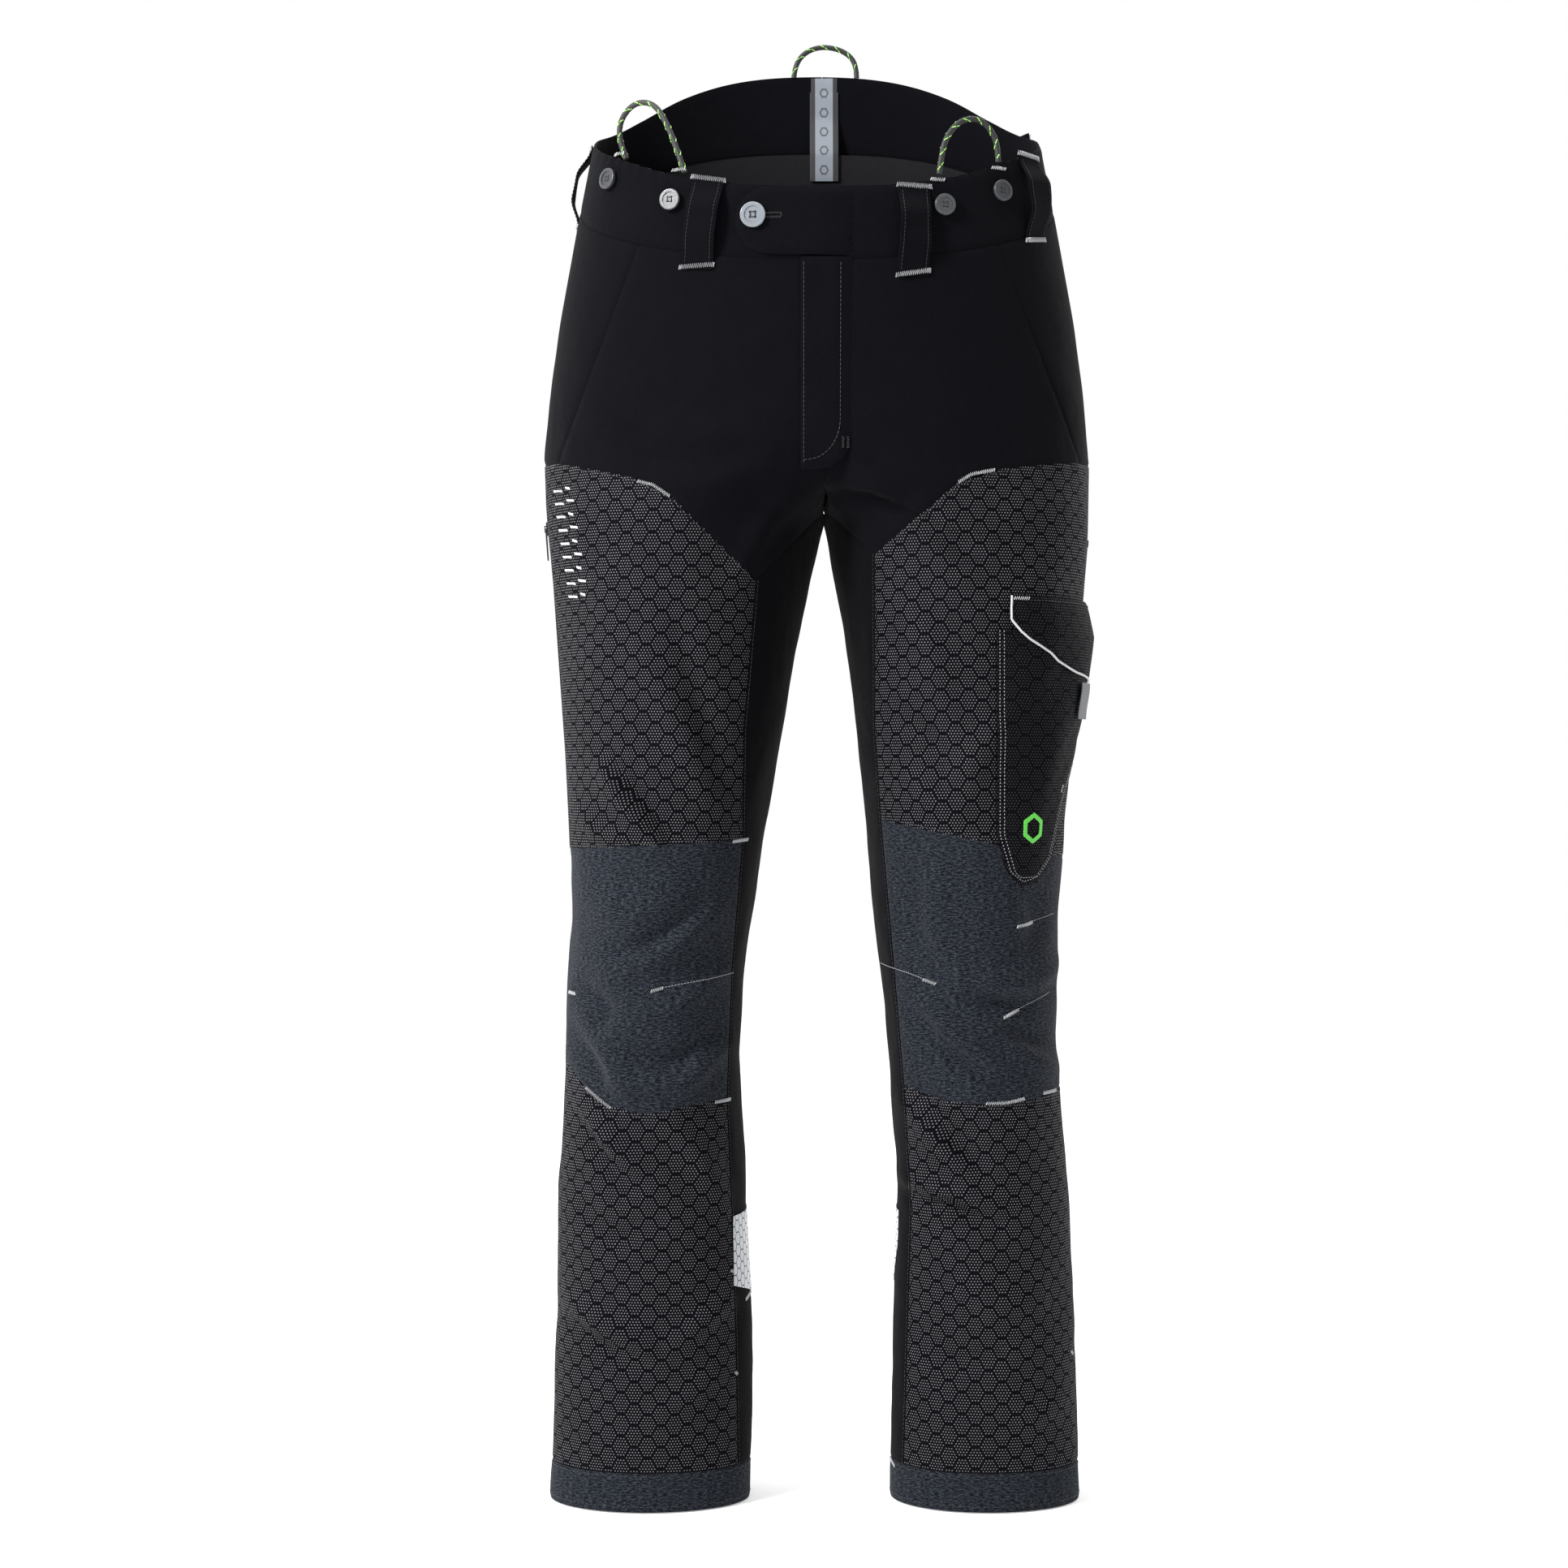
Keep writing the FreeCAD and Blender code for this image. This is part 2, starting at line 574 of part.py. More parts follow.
def make_back_tape():
    tape = tube("right", BAND + LAYER_GAP).cut(tube("right", BAND + LAYER_GAP + 2 * TAPE_LAYER, RUN_OUT))
    tape = tape.common(box(TAPE_X - TAPE_HALF, TAPE_X + TAPE_HALF, 0, REACH, TAPE_LOW, TOP_LIMIT))
    tape = tape.common(profile_prism(WAIST_EDGE, -1.0, False))
    upper = tube("right", BAND + LAYER_GAP + TAPE_LAYER)
    above = box(-REACH, REACH, 0, REACH, TAPE_FOLD, TOP_LIMIT + RUN_OUT)
    save("centre_back_tape", tape.cut(upper.common(above)))


# ---- zips -----------------------------------------------------------------------------

def zip_chain(half_wide, length):
    """Tape and coil, drawn with the tape's front face at y = 0 and its middle at the origin."""
    tape = box(-half_wide, half_wide, 0, TAPE_THICK, -length / 2, length / 2)
    coil = box(-COIL_HALF, COIL_HALF, -COIL_HIGH, 0.2, -length / 2 + 3, length / 2 - 3)
    return tape.fuse(coil)


def zip_slider():
    """A channel over the coil with a bridge for the puller."""
    roof = COIL_HIGH + SLIDER_LIFT + 0.1
    top = roof + SLIDER_WALL
    body = box(-SLIDER_HALF, SLIDER_HALF, -top, -SLIDER_LIFT, -SLIDER_LONG / 2, SLIDER_LONG / 2)
    body = body.makeFillet(0.5, [edge for edge in body.Edges if edge.BoundBox.YLength > 1])
    groove = box(-COIL_HALF - 0.3, COIL_HALF + 0.3, -roof, 0, -SLIDER_LONG, SLIDER_LONG)
    bridge = box(-BRIDGE_HALF, BRIDGE_HALF, -top - BRIDGE_HIGH, -top + 0.2, -BRIDGE_LONG / 2, BRIDGE_LONG / 2)
    inner = BRIDGE_LONG / 2 - BRIDGE_WALL
    under = box(-BRIDGE_HALF - 1, BRIDGE_HALF + 1, -top - BRIDGE_HIGH + 0.6, -top, -inner, inner)
    return body.cut(groove).fuse(bridge.cut(under))


def pin_out():
    return COIL_HIGH + SLIDER_LIFT + 0.1 + SLIDER_WALL + 0.6


def zip_puller():
    """A pin through the bridge, two arms beside it and a tapered pull below."""
    out = pin_out()
    pin = Part.makeCylinder(PIN_RADIUS, 2 * PULLER_HALF, Vector(-PULLER_HALF, -out, 0), Vector(1, 0, 0))
    arm_inner = PULLER_HALF - PULLER_ARM
    neck = -5.0
    outline = [(-PULLER_HALF, 0.45), (-arm_inner, 0.45), (-arm_inner, neck), (arm_inner, neck),
               (arm_inner, 0.45), (PULLER_HALF, 0.45), (PULLER_HALF, neck - 2),
               (PULLER_HALF * 0.7, -PULLER_LONG + 1.5), (PULLER_HALF * 0.4, -PULLER_LONG),
               (-PULLER_HALF * 0.4, -PULLER_LONG), (-PULLER_HALF * 0.7, -PULLER_LONG + 1.5),
               (-PULLER_HALF, neck - 2)]
    plate = prism_y(outline, -out - PIN_RADIUS, -out + PIN_RADIUS)
    eye = Part.makeCylinder(1.4, 4, Vector(0, -out - 2, -PULLER_LONG + 4.5), Vector(0, 1, 0))
    return plate.fuse(pin).cut(eye)


def make_vent(leg):
    length = VENT_TOP - VENT_LOW
    middle = at_height(leg, (VENT_TOP + VENT_LOW) / 2)
    save("vent_zip_" + leg, set_down(zip_chain(VENT_HALF - 0.3, length), middle))
    rest = at_height(leg, VENT_REST[leg])
    save("vent_slider_" + leg, set_down(zip_slider(), rest))
    save("vent_puller_" + leg, set_down(zip_puller(), rest))


def fly_frame(height):
    here = Vector(CROTCH_X, -FRONT_DEPTH + FLY_TAPE_DEPTH, height)
    return here, Vector(1, 0, 0), Vector(0, 0, 1), Vector(0, -1, 0)


def make_fly():
    middle = (FLY_ZIP_LOW + FLY_ZIP_HIGH) / 2
    length = FLY_ZIP_HIGH - FLY_ZIP_LOW
    save("fly_zip", set_down(zip_chain(FLY_TAPE_HALF, length), fly_frame(middle)))
    rest = fly_frame(FLY_SLIDER_REST)
    save("fly_slider", set_down(zip_slider(), rest))
    save("fly_puller", set_down(zip_puller(), rest))
    back = -FRONT_DEPTH - PLACKET_OFF
    corner_x = PLACKET_RIGHT - PLACKET_CURVE
    start = Vector(corner_x, back, FLY_LOW)
    end = Vector(PLACKET_RIGHT, back, FLY_LOW + PLACKET_CURVE)
    bend = PLACKET_CURVE * math.sqrt(0.5)
    middle_point = Vector(corner_x + bend, back, FLY_LOW + PLACKET_CURVE - bend)
    top_right = Vector(PLACKET_RIGHT, back, FLY_HIGH)
    top_left = Vector(PLACKET_LEFT, back, FLY_HIGH)
    low_left = Vector(PLACKET_LEFT, back, FLY_LOW)
    edges = [Part.makeLine(low_left, start), Part.Arc(start, middle_point, end).toShape(),
             Part.makeLine(end, top_right), Part.makeLine(top_right, top_left),
             Part.makeLine(top_left, low_left)]
    save("fly_placket", Part.Face(Part.Wire(edges)).extrude(Vector(0, -SHELL, 0)))
    under = box(UNDERLAP_LEFT, UNDERLAP_RIGHT, -FRONT_DEPTH + UNDERLAP_OUT, -FRONT_DEPTH + UNDERLAP_IN,
                FLY_ZIP_LOW, FLY_HIGH)
    save("fly_underlap", under.makeFillet(0.4, under.Edges))


# ---- cargo pocket on the left thigh ---------------------------------------------------

def make_cargo_pocket():
    front = box(-REACH, REACH, -REACH, -0.4, 0, TOP_LIMIT)
    bag = tube("left", -CARGO_DEEP).cut(tube("left", -CARGO_NEAR, RUN_OUT))
    bag = bag.common(prism_y(CARGO_OUTLINE, -REACH, -0.4))
    inside = tube("left", -CARGO_DEEP + CARGO_WALL)
    inside = inside.common(prism_y(CARGO_CORE, -REACH, -CARGO_WALL - 0.4))
    save("cargo_pocket", bag.cut(inside).common(front))


def flap_tube(extra):
    """The left thigh's surface, swelling from the flap's seam out over the pocket."""
    shapes = []
    for height in (FLAP_TOP + 1, FLAP_TOP, FLAP_BEND, FLAP_LOW - 1):
        share = min(max((FLAP_TOP - height) / (FLAP_TOP - FLAP_BEND), 0), 1)
        out = FLAP_NEAR + (FLAP_CLEAR - FLAP_NEAR) * share
        shapes.append(section(blend_row("left", height), -out - extra))
    return Part.makeLoft(shapes, True, True)


def make_flap():
    flap = flap_tube(FLAP_THICK).cut(flap_tube(0))
    flap = flap.common(prism_y(FLAP_OUTLINE, -REACH, -0.4))
    save("cargo_flap", flap)
    here, side, up, outward = surface_frame("left", PULL_TAB_X, FLAP_LOW, -1)
    start = here + outward * (FLAP_CLEAR + FLAP_THICK) - up * 1.0
    tab = box(-PULL_TAB_WIDE / 2, PULL_TAB_WIDE / 2, -PULL_TAB_THICK - 0.2, -0.2, -PULL_TAB_LONG, 0)
    tab = tab.makeFillet(0.5, tab.Edges)
    save("flap_pull_tab", set_down(tab, (start, side, up, outward)))


# ---- cords ----------------------------------------------------------------------------

def make_cord(name, route):
    """A round cord along straight runs joined by tangent arcs."""
    spots = [Vector(*spot) for spot in route]
    edges = []
    last = spots[0]
    length = 0.0
    radii = []
    for before, corner, after in zip(spots, spots[1:], spots[2:]):
        back = before - corner
        onward = after - corner
        short = min(back.Length, onward.Length)
        back.normalize()
        onward.normalize()
        turn = math.pi - back.getAngle(onward)
        take = ARC_SHARE * short
        radius = take / math.tan(turn / 2)
        radii.append(radius)
        start = corner + back * take
        end = corner + onward * take
        half_way = back + onward
        half_way.normalize()
        depth = radius / math.cos(turn / 2) - radius
        edges.append(Part.LineSegment(last, start).toShape())
        edges.append(Part.Arc(start, corner + half_way * depth, end).toShape())
        length += (start - last).Length + radius * turn
        last = end
    edges.append(Part.LineSegment(last, spots[-1]).toShape())
    length += (spots[-1] - last).Length
    path = Part.Wire(edges)
    heading = spots[1] - spots[0]
    ring = Part.Wire([Part.makeCircle(CORD_RADIUS, spots[0], heading)])
    cord = path.makePipeShell([ring], True, False)
    volume = math.pi * CORD_RADIUS ** 2 * length
    print(name, "length %.1f" % length, "volume ratio %.4f" % (cord.Volume / volume),
          "radii", " ".join("%.0f" % radius for radius in radii))
    save(name, cord)


def main():
    os.makedirs("parts", exist_ok=True)
    for leg in ("right", "left"):
        make_shell(leg)
        make_hem(leg)
        make_patch(leg)
        make_guard(leg)
        make_lining(leg)
        make_hand_pocket(leg)
        make_vent(leg)
    make_waistband()
    make_waist_tab()
    make_buttons()
    make_belt_loops()
    make_back_tape()
    make_fly()
    make_cargo_pocket()
    make_flap()
    for name, route in CORDS.items():
        make_cord(name, route)


main()
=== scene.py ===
import math

import bpy
import numpy as np
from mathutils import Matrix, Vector, geometry, noise
from mathutils.bvhtree import BVHTree


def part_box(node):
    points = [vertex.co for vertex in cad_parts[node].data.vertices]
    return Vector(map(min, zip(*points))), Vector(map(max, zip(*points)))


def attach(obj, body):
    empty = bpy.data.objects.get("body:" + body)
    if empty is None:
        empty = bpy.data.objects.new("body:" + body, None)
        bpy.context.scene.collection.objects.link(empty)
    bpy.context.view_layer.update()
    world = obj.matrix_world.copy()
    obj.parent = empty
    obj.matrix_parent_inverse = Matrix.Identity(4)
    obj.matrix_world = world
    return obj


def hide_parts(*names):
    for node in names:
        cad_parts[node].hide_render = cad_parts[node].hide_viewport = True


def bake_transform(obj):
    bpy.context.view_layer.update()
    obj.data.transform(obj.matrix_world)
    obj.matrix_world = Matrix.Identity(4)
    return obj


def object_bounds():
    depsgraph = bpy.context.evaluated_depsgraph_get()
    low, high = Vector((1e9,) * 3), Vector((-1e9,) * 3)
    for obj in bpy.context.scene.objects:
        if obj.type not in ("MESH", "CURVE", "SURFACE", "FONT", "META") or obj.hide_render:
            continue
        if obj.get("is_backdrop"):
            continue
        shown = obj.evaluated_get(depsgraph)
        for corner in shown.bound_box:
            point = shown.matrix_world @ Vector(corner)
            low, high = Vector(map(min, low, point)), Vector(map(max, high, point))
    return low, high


# Chainsaw-protective work trousers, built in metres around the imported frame.
# Each leg's skin is a table of points read from the frame by height and turn, with folds
# added to it, and every cloth piece is cut out of that skin. A turn of 0 is the outer
# side seam, a quarter turn the front, a half turn the inner side.

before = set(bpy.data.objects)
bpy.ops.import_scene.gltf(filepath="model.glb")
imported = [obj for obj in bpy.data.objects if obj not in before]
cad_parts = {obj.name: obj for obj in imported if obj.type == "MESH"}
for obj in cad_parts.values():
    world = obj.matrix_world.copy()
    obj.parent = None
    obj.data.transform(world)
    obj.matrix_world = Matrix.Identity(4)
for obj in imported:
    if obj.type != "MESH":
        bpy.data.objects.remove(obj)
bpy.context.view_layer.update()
SIDE = {"right": -1, "left": 1}
ROOT = "trousers"

# ---- camera and light ---------------------------------------------------------------------

CAMERA_PLACE, CAMERA_LENS = (-0.027, -2.4, 0.585), 66.9
camera = bpy.data.objects.new("camera", bpy.data.cameras.new("camera"))
camera.location = CAMERA_PLACE
camera.rotation_euler = (math.pi / 2, 0, 0)
camera.data.lens = CAMERA_LENS
bpy.context.scene.collection.objects.link(camera)
bpy.context.scene.camera = camera


def studio_light(name, place, aim, size, power):
    light = bpy.data.lights.new(name, "AREA")
    light.shape = "RECTANGLE"
    light.size, light.size_y = size
    light.energy = power
    lamp = bpy.data.objects.new(name, light)
    lamp.location = place
    lamp.rotation_euler = (Vector(aim) - Vector(place)).to_track_quat("-Z", "Y").to_euler()
    bpy.context.scene.collection.objects.link(lamp)


studio_light("key", (-2.1, -1.7, 2.3), (0, 0, 0.65), (0.7, 1.0), 150)
studio_light("fill", (1.6, -2.4, 1.2), (0, 0, 0.6), (1.2, 1.8), 5)
studio_light("top", (0.0, -0.3, 2.9), (0, 0, 0.8), (1.6, 1.2), 22)
studio_light("back_right", (-2.2, 1.4, 1.5), (0, 0, 0.7), (1.0, 1.6), 16)
studio_light("back_left", (2.2, 1.6, 1.4), (0, 0, 0.7), (1.0, 1.6), 16)


# ---- the skin of each leg -----------------------------------------------------------------

ROW_STEP = 0.004
ROWS = np.arange(0.0, 1.2401, ROW_STEP)
TURN_COUNT = 241
TAU = 2 * math.pi
TURNS = np.linspace(0, TAU, TURN_COUNT)
CROTCH = (0.006, 0.806)
BAND_MEETS = 0.002          # where the two halves of the waistband meet
FLY_SLOT, FLY_SLOT_LOW = 0.0052, 0.860      # the gap in the front for the zip, and its foot
AXIS = {
    "right": [(0, -0.137), (0.362, -0.134), (0.709, -0.113), (0.802, -0.108), (1.3, -0.108)],
    "left": [(0, 0.138), (0.255, 0.136), (0.415, 0.1255), (0.549, 0.1215), (0.802, 0.115), (1.3, 0.115)],
}
LEG_PARTS = ("front_panel", "pocket_facing", "thigh_panel", "knee_panel", "shin_panel", "back_leg",
             "seat", "hem_band", "waistband")
TRUNK_PARTS = ("front_panel", "pocket_facing", "seat", "waistband", "back_leg", "thigh_panel")
RAY_START = 0.6             # how far outside the leg's axis each ray starts
NEAR_AXIS = 0.02            # a hit nearer the axis than this is something else
SKIN_SMOOTHING = 3


def tree_of(nodes):
    points, faces = [], []
    for node in nodes:
        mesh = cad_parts[node].data
        first = len(points)
        points += [v.co.copy() for v in mesh.vertices]
        faces += [tuple(first + i for i in p.vertices) for p in mesh.polygons]
    return BVHTree.FromPolygons(points, faces)


def smooth_rows(values, times):
    for _ in range(times):
        wide = np.concatenate([values[:1], values[:1], values, values[-1:], values[-1:]])
        values = (wide[:-4] + 4 * wide[1:-3] + 6 * wide[2:-2] + 4 * wide[3:-1] + wide[4:]) / 16
    return values


class Skin:
    """One leg's outer surface, up to and a little past the middle of the trunk."""

    def __init__(self, leg):
        self.side = SIDE[leg]
        self.axis = np.interp(ROWS, *zip(*AXIS[leg]))
        own = tree_of([part + "_" + leg for part in LEG_PARTS] + ["back_yoke"])
        both = tree_of([part + "_" + other for part in TRUNK_PARTS for other in SIDE] + ["back_yoke"])
        radius = np.full((len(ROWS), TURN_COUNT), np.nan)
        for row, height in enumerate(ROWS):
            tree = own if height < CROTCH[1] else both
            middle = np.interp(height, [0.82, 0.86], [CROTCH[0], CROTCH[0] - self.side * 0.024])
            for step, turn in enumerate(TURNS[:-1]):
                way = Vector((self.side * math.cos(turn), -math.sin(turn), 0))
                start = Vector((self.axis[row], 0, max(height, 0.001))) + way * RAY_START
                found = tree.ray_cast(start, -way)
                far = np.nan if found[0] is None else RAY_START - found[3]
                if found[0] is not None and far < NEAR_AXIS:
                    far = np.nan
                across = (middle - self.axis[row]) / way.x if abs(way.x) > 1e-6 else -1
                if height > 0.7 and across > 0 and far > across:
                    far = across
                radius[row, step] = far
        radius[:, -1] = radius[:, 0]
        steps = np.arange(TURN_COUNT)
        for row in range(len(ROWS)):
            good = ~np.isnan(radius[row])
            if ROWS[row] > 1.0:
                radius[row, ~good] = radius[row - 1, ~good]
            else:
                radius[row] = np.interp(steps, steps[good], radius[row, good])
        radius[:, 0] = radius[:, -1] = (radius[:, 1] + radius[:, -2]) / 2
        radius = smooth_rows(radius, SKIN_SMOOTHING)
        self.points = np.stack([
            self.axis[:, None] + self.side * radius * np.cos(TURNS),
            -radius * np.sin(TURNS),
            np.repeat(ROWS[:, None], TURN_COUNT, 1),
        ], -1)
        self.arc = np.zeros((len(ROWS), TURN_COUNT))
        step_long = np.linalg.norm(np.diff(self.points, axis=1), axis=2)
        self.arc[:, 1:] = np.cumsum(step_long, 1)
        self.arc -= self.arc[:, [TURN_COUNT // 4]]
        self.find_normals()

    def find_normals(self):
        around = np.empty_like(self.points)
        around[:, 1:-1] = self.points[:, 2:] - self.points[:, :-2]
        around[:, 0] = around[:, -1] = self.points[:, 1] - self.points[:, -2]
        rise = np.gradient(self.points, axis=0)
        normals = np.cross(around, rise) * -self.side
        self.normals = normals / np.linalg.norm(normals, axis=2)[..., None]

    def lift(self, amount):
        """Move every point out by its own amount."""
        self.points = self.points + self.normals * amount[..., None]
        self.find_normals()

    def blend(self, table, turn, height):
        turn, height = np.broadcast_arrays(np.asarray(turn, float), np.asarray(height, float))
        a = np.clip(height / ROW_STEP, 0, len(ROWS) - 1.001)
        b = np.clip(np.mod(turn, TAU) / TAU * (TURN_COUNT - 1), 0, TURN_COUNT - 1.001)
        i, j = a.astype(int), b.astype(int)
        u, v = a - i, b - j
        if table.ndim == 3:
            u, v = u[..., None], v[..., None]
        return (table[i, j] * (1 - u) * (1 - v) + table[i + 1, j] * u * (1 - v)
                + table[i, j + 1] * (1 - u) * v + table[i + 1, j + 1] * u * v)

    def spot(self, turn, height, out=0.0):
        place = self.blend(self.points, turn, height)
        facing = self.blend(self.normals, turn, height)
        facing = facing / np.linalg.norm(facing, axis=-1)[..., None]
        return place + facing * np.asarray(out)[..., None]

    def arc_at(self, turn, height):
        """Metres round the leg from the middle of its front."""
        laps = np.floor(np.asarray(turn) / TAU)
        row = np.clip(np.asarray(height) / ROW_STEP, 0, len(ROWS) - 1)
        total = np.interp(row, np.arange(len(ROWS)), self.arc[:, -1] - self.arc[:, 0])
        return self.blend(self.arc, turn, height) + laps * total

    def facing(self, turn, height):
        found = self.blend(self.normals, turn, height)
        return found / np.linalg.norm(found, axis=-1)[..., None]

    def turn_at(self, distance, height, way=-1):
        """The turn of the point at a distance from the middle, on the front (-1) or the back (1)."""
        half = TURN_COUNT // 2
        span = slice(0, half + 1) if way < 0 else slice(half, TURN_COUNT)
        row = min(max(height / ROW_STEP, 0), len(ROWS) - 1.001)
        low, share = int(row), row - int(row)
        line = (self.points[low, span, 0] * (1 - share) + self.points[low + 1, span, 0] * share) * self.side
        turns = TURNS[span]
        if way < 0:
            line, turns = line[::-1], turns[::-1]
        line = np.maximum.accumulate(line)
        keep = np.concatenate([[True], np.diff(line) > 1e-7])
        return float(np.interp(distance, line[keep], turns[keep]))

    def trace(self, points, way=-1, step=0.004):
        """A line given as (distance from the middle, height), laid on the skin as (turn, height)."""
        line = []
        for (d0, z0), (d1, z1) in zip(points, points[1:]):
            count = max(1, int(math.hypot(d1 - d0, z1 - z0) / step))
            line += [(d0 + (d1 - d0) * k / count, z0 + (z1 - z0) * k / count) for k in range(count)]
        line.append(points[-1])
        return [(self.turn_at(d, z, way), z) for d, z in line]


skins = {leg: Skin(leg) for leg in SIDE}


# ---- mesh making --------------------------------------------------------------------------

PLAN = 0.115        # metres along the skin for one radian of turn, for laying out cuts only
SHARP_ANGLE = 40
EDGE_ROWS = (0.0009, 0.0026)        # rows of points just inside a cut's edge, for its rolled rim


def new_piece(name, points, faces, material, body=ROOT, uvs=None):
    """A smooth mesh object, its faces turned outwards, riding on a body unless that is None."""
    points = np.array([tuple(p) for p in points], float)
    near = points - points[0]
    solid = sum(near[f[0]] @ np.cross(near[f[k]], near[f[k + 1]])
                for f in faces for k in range(1, len(f) - 1))
    if solid < 0:
        faces = [f[::-1] for f in faces]
    mesh = bpy.data.meshes.new(name)
    mesh.from_pydata([tuple(map(float, p)) for p in points], [], faces)
    mesh.polygons.foreach_set("use_smooth", [True] * len(mesh.polygons))
    layer = mesh.uv_layers.new(name="cloth")
    flat = np.asarray(uvs if uvs is not None else [(p[0], p[2]) for p in points], float)
    corner = np.empty(len(mesh.loops), int)
    mesh.loops.foreach_get("vertex_index", corner)
    layer.data.foreach_set("uv", flat[corner].ravel())
    mesh.set_sharp_from_angle(angle=math.radians(SHARP_ANGLE))
    mesh.validate()
    obj = bpy.data.objects.new(name, mesh)
    bpy.context.scene.collection.objects.link(obj)
    mesh.materials.append(material)
    if body is not None:
        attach(obj, body)
    return obj


def inside(points, ring):
    a, b = ring, np.roll(ring, -1, 0)
    x, y = points[:, :1], points[:, 1:]
    crosses = (a[:, 1] > y) != (b[:, 1] > y)
    rise = np.where(np.abs(b[:, 1] - a[:, 1]) < 1e-12, 1e-12, b[:, 1] - a[:, 1])
    left = x < (b[:, 0] - a[:, 0]) * (y - a[:, 1]) / rise + a[:, 0]
    return (crosses & left).sum(1) % 2 == 1


def edge_distance(points, ring, closed=True):
    a = ring if closed else ring[:-1]
    b = np.roll(ring, -1, 0) if closed else ring[1:]
    span = b - a
    best = np.full(len(points), 9.0)
    size = np.maximum((span ** 2).sum(1), 1e-14)
    for start in range(0, len(points), 4000):
        block = points[start:start + 4000, None]
        share = np.clip(((block - a) * span).sum(2) / size, 0, 1)
        gap = np.linalg.norm(block - a - share[..., None] * span, axis=2)
        best[start:start + 4000] = gap.min(1)
    return best


def resample(ring, step, closed=True):
    """The same outline with points no further apart than step, its corners kept."""
    made = []
    ends = list(zip(ring, ring[1:] + ring[:1])) if closed else list(zip(ring, ring[1:]))
    for a, b in ends:
        count = max(1, int(round(math.dist(a, b) / step)))
        made += [(a[0] + (b[0] - a[0]) * k / count, a[1] + (b[1] - a[1]) * k / count) for k in range(count)]
    if not closed:
        made.append(ring[-1])
    return made


def cut(outline, cell):
    """A triangulated cut of cloth with this outline: flat points, triangles and edge distances."""
    thin = [p for k, p in enumerate(outline) if math.dist(p, outline[k - 1]) > 0.0004]
    ring = np.array(resample(thin, cell))
    low, high = ring.min(0), ring.max(0)
    xs = np.arange(low[0], high[0] + cell, cell)
    ys = np.arange(low[1], high[1] + cell, cell * 0.866)
    grid = np.array([(x + (k % 2) * cell / 2, y) for k, y in enumerate(ys) for x in xs])
    grid = grid[inside(grid, ring)]
    far = edge_distance(grid, ring)
    grid = grid[far > EDGE_ROWS[-1] + 0.3 * cell]
    after, before = np.roll(ring, -1, 0), np.roll(ring, 1, 0)
    ahead = after - before
    inward = np.stack([-ahead[:, 1], ahead[:, 0]], 1)
    inward /= np.maximum(np.linalg.norm(ahead, axis=1), 1e-9)[:, None]
    area = ((ring[:, 0] * after[:, 1]) - (after[:, 0] * ring[:, 1])).sum()
    inward *= math.copysign(1, area)
    extra = []
    for depth in EDGE_ROWS:
        row = ring + inward * depth
        row = row[inside(row, ring)]
        extra.append(row[edge_distance(row, ring) > depth * 0.75])
    points = np.concatenate([ring] + extra + [grid])
    loop = list(range(len(ring)))
    if area < 0:
        loop = loop[::-1]
    made = geometry.delaunay_2d_cdt([Vector(p) for p in points], [], [loop], 1, 1e-7)
    flat = np.array([tuple(p) for p in made[0]])
    faces = [tuple(f) for f in made[2]]
    return flat, faces, edge_distance(flat, ring)


def shell_of(faces, count):
    """Both sides of a sheet of faces and the rim between them."""
    edges = {}
    for face in faces:
        for a, b in zip(face, face[1:] + face[:1]):
            edges[(a, b)] = edges.get((a, b), 0) + 1
    rim = [(b, a, a + count, b + count) for a, b in edges if (b, a) not in edges]
    return faces + [tuple(i + count for i in reversed(f)) for f in faces] + rim


def sew(name, flat_outline, place, material, slot, cell=0.005, thick=0.0012, roll=0.0007,
        roll_wide=0.0016, lift=None, body=ROOT, stands_for=(), uv=None, mirrored=False, slim=None):
    """A closed piece of cloth from a flat cut. place(a, b, out) puts the cut's points in space."""
    flat, faces, far = cut(flat_outline, cell)
    a, b = flat[:, 0], flat[:, 1]
    extra = np.zeros(len(flat)) if lift is None else lift(a, b, far)
    deep = np.full(len(flat), thick) if slim is None else slim(a, b, far)
    sink = roll * np.exp(-(far / roll_wide) ** 2)
    points = np.concatenate([place(a, b, extra - sink), place(a, b, extra - deep + sink * 0.3)])
    if mirrored:
        faces = [f[::-1] for f in faces]
    grain = flat if uv is None else uv(a, b)
    piece = new_piece(name, points, shell_of(faces, len(flat)), material, body,
                      np.concatenate([grain, grain]))
    if stands_for:
        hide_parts(*stands_for)
    return piece


def cloth(name, leg, outline, material, slot, out=0.0, **more):
    """A piece of cloth cut from the leg's skin. Its outline is given as (turn, height)."""
    skin = skins[leg]
    return sew(name, [(turn * PLAN, z) for turn, z in outline],
               lambda a, b, lift: skin.spot(a / PLAN, b, out + lift), material, slot,
               uv=lambda a, b: np.stack([skin.arc_at(a / PLAN, b), b], 1), mirrored=skin.side > 0, **more)


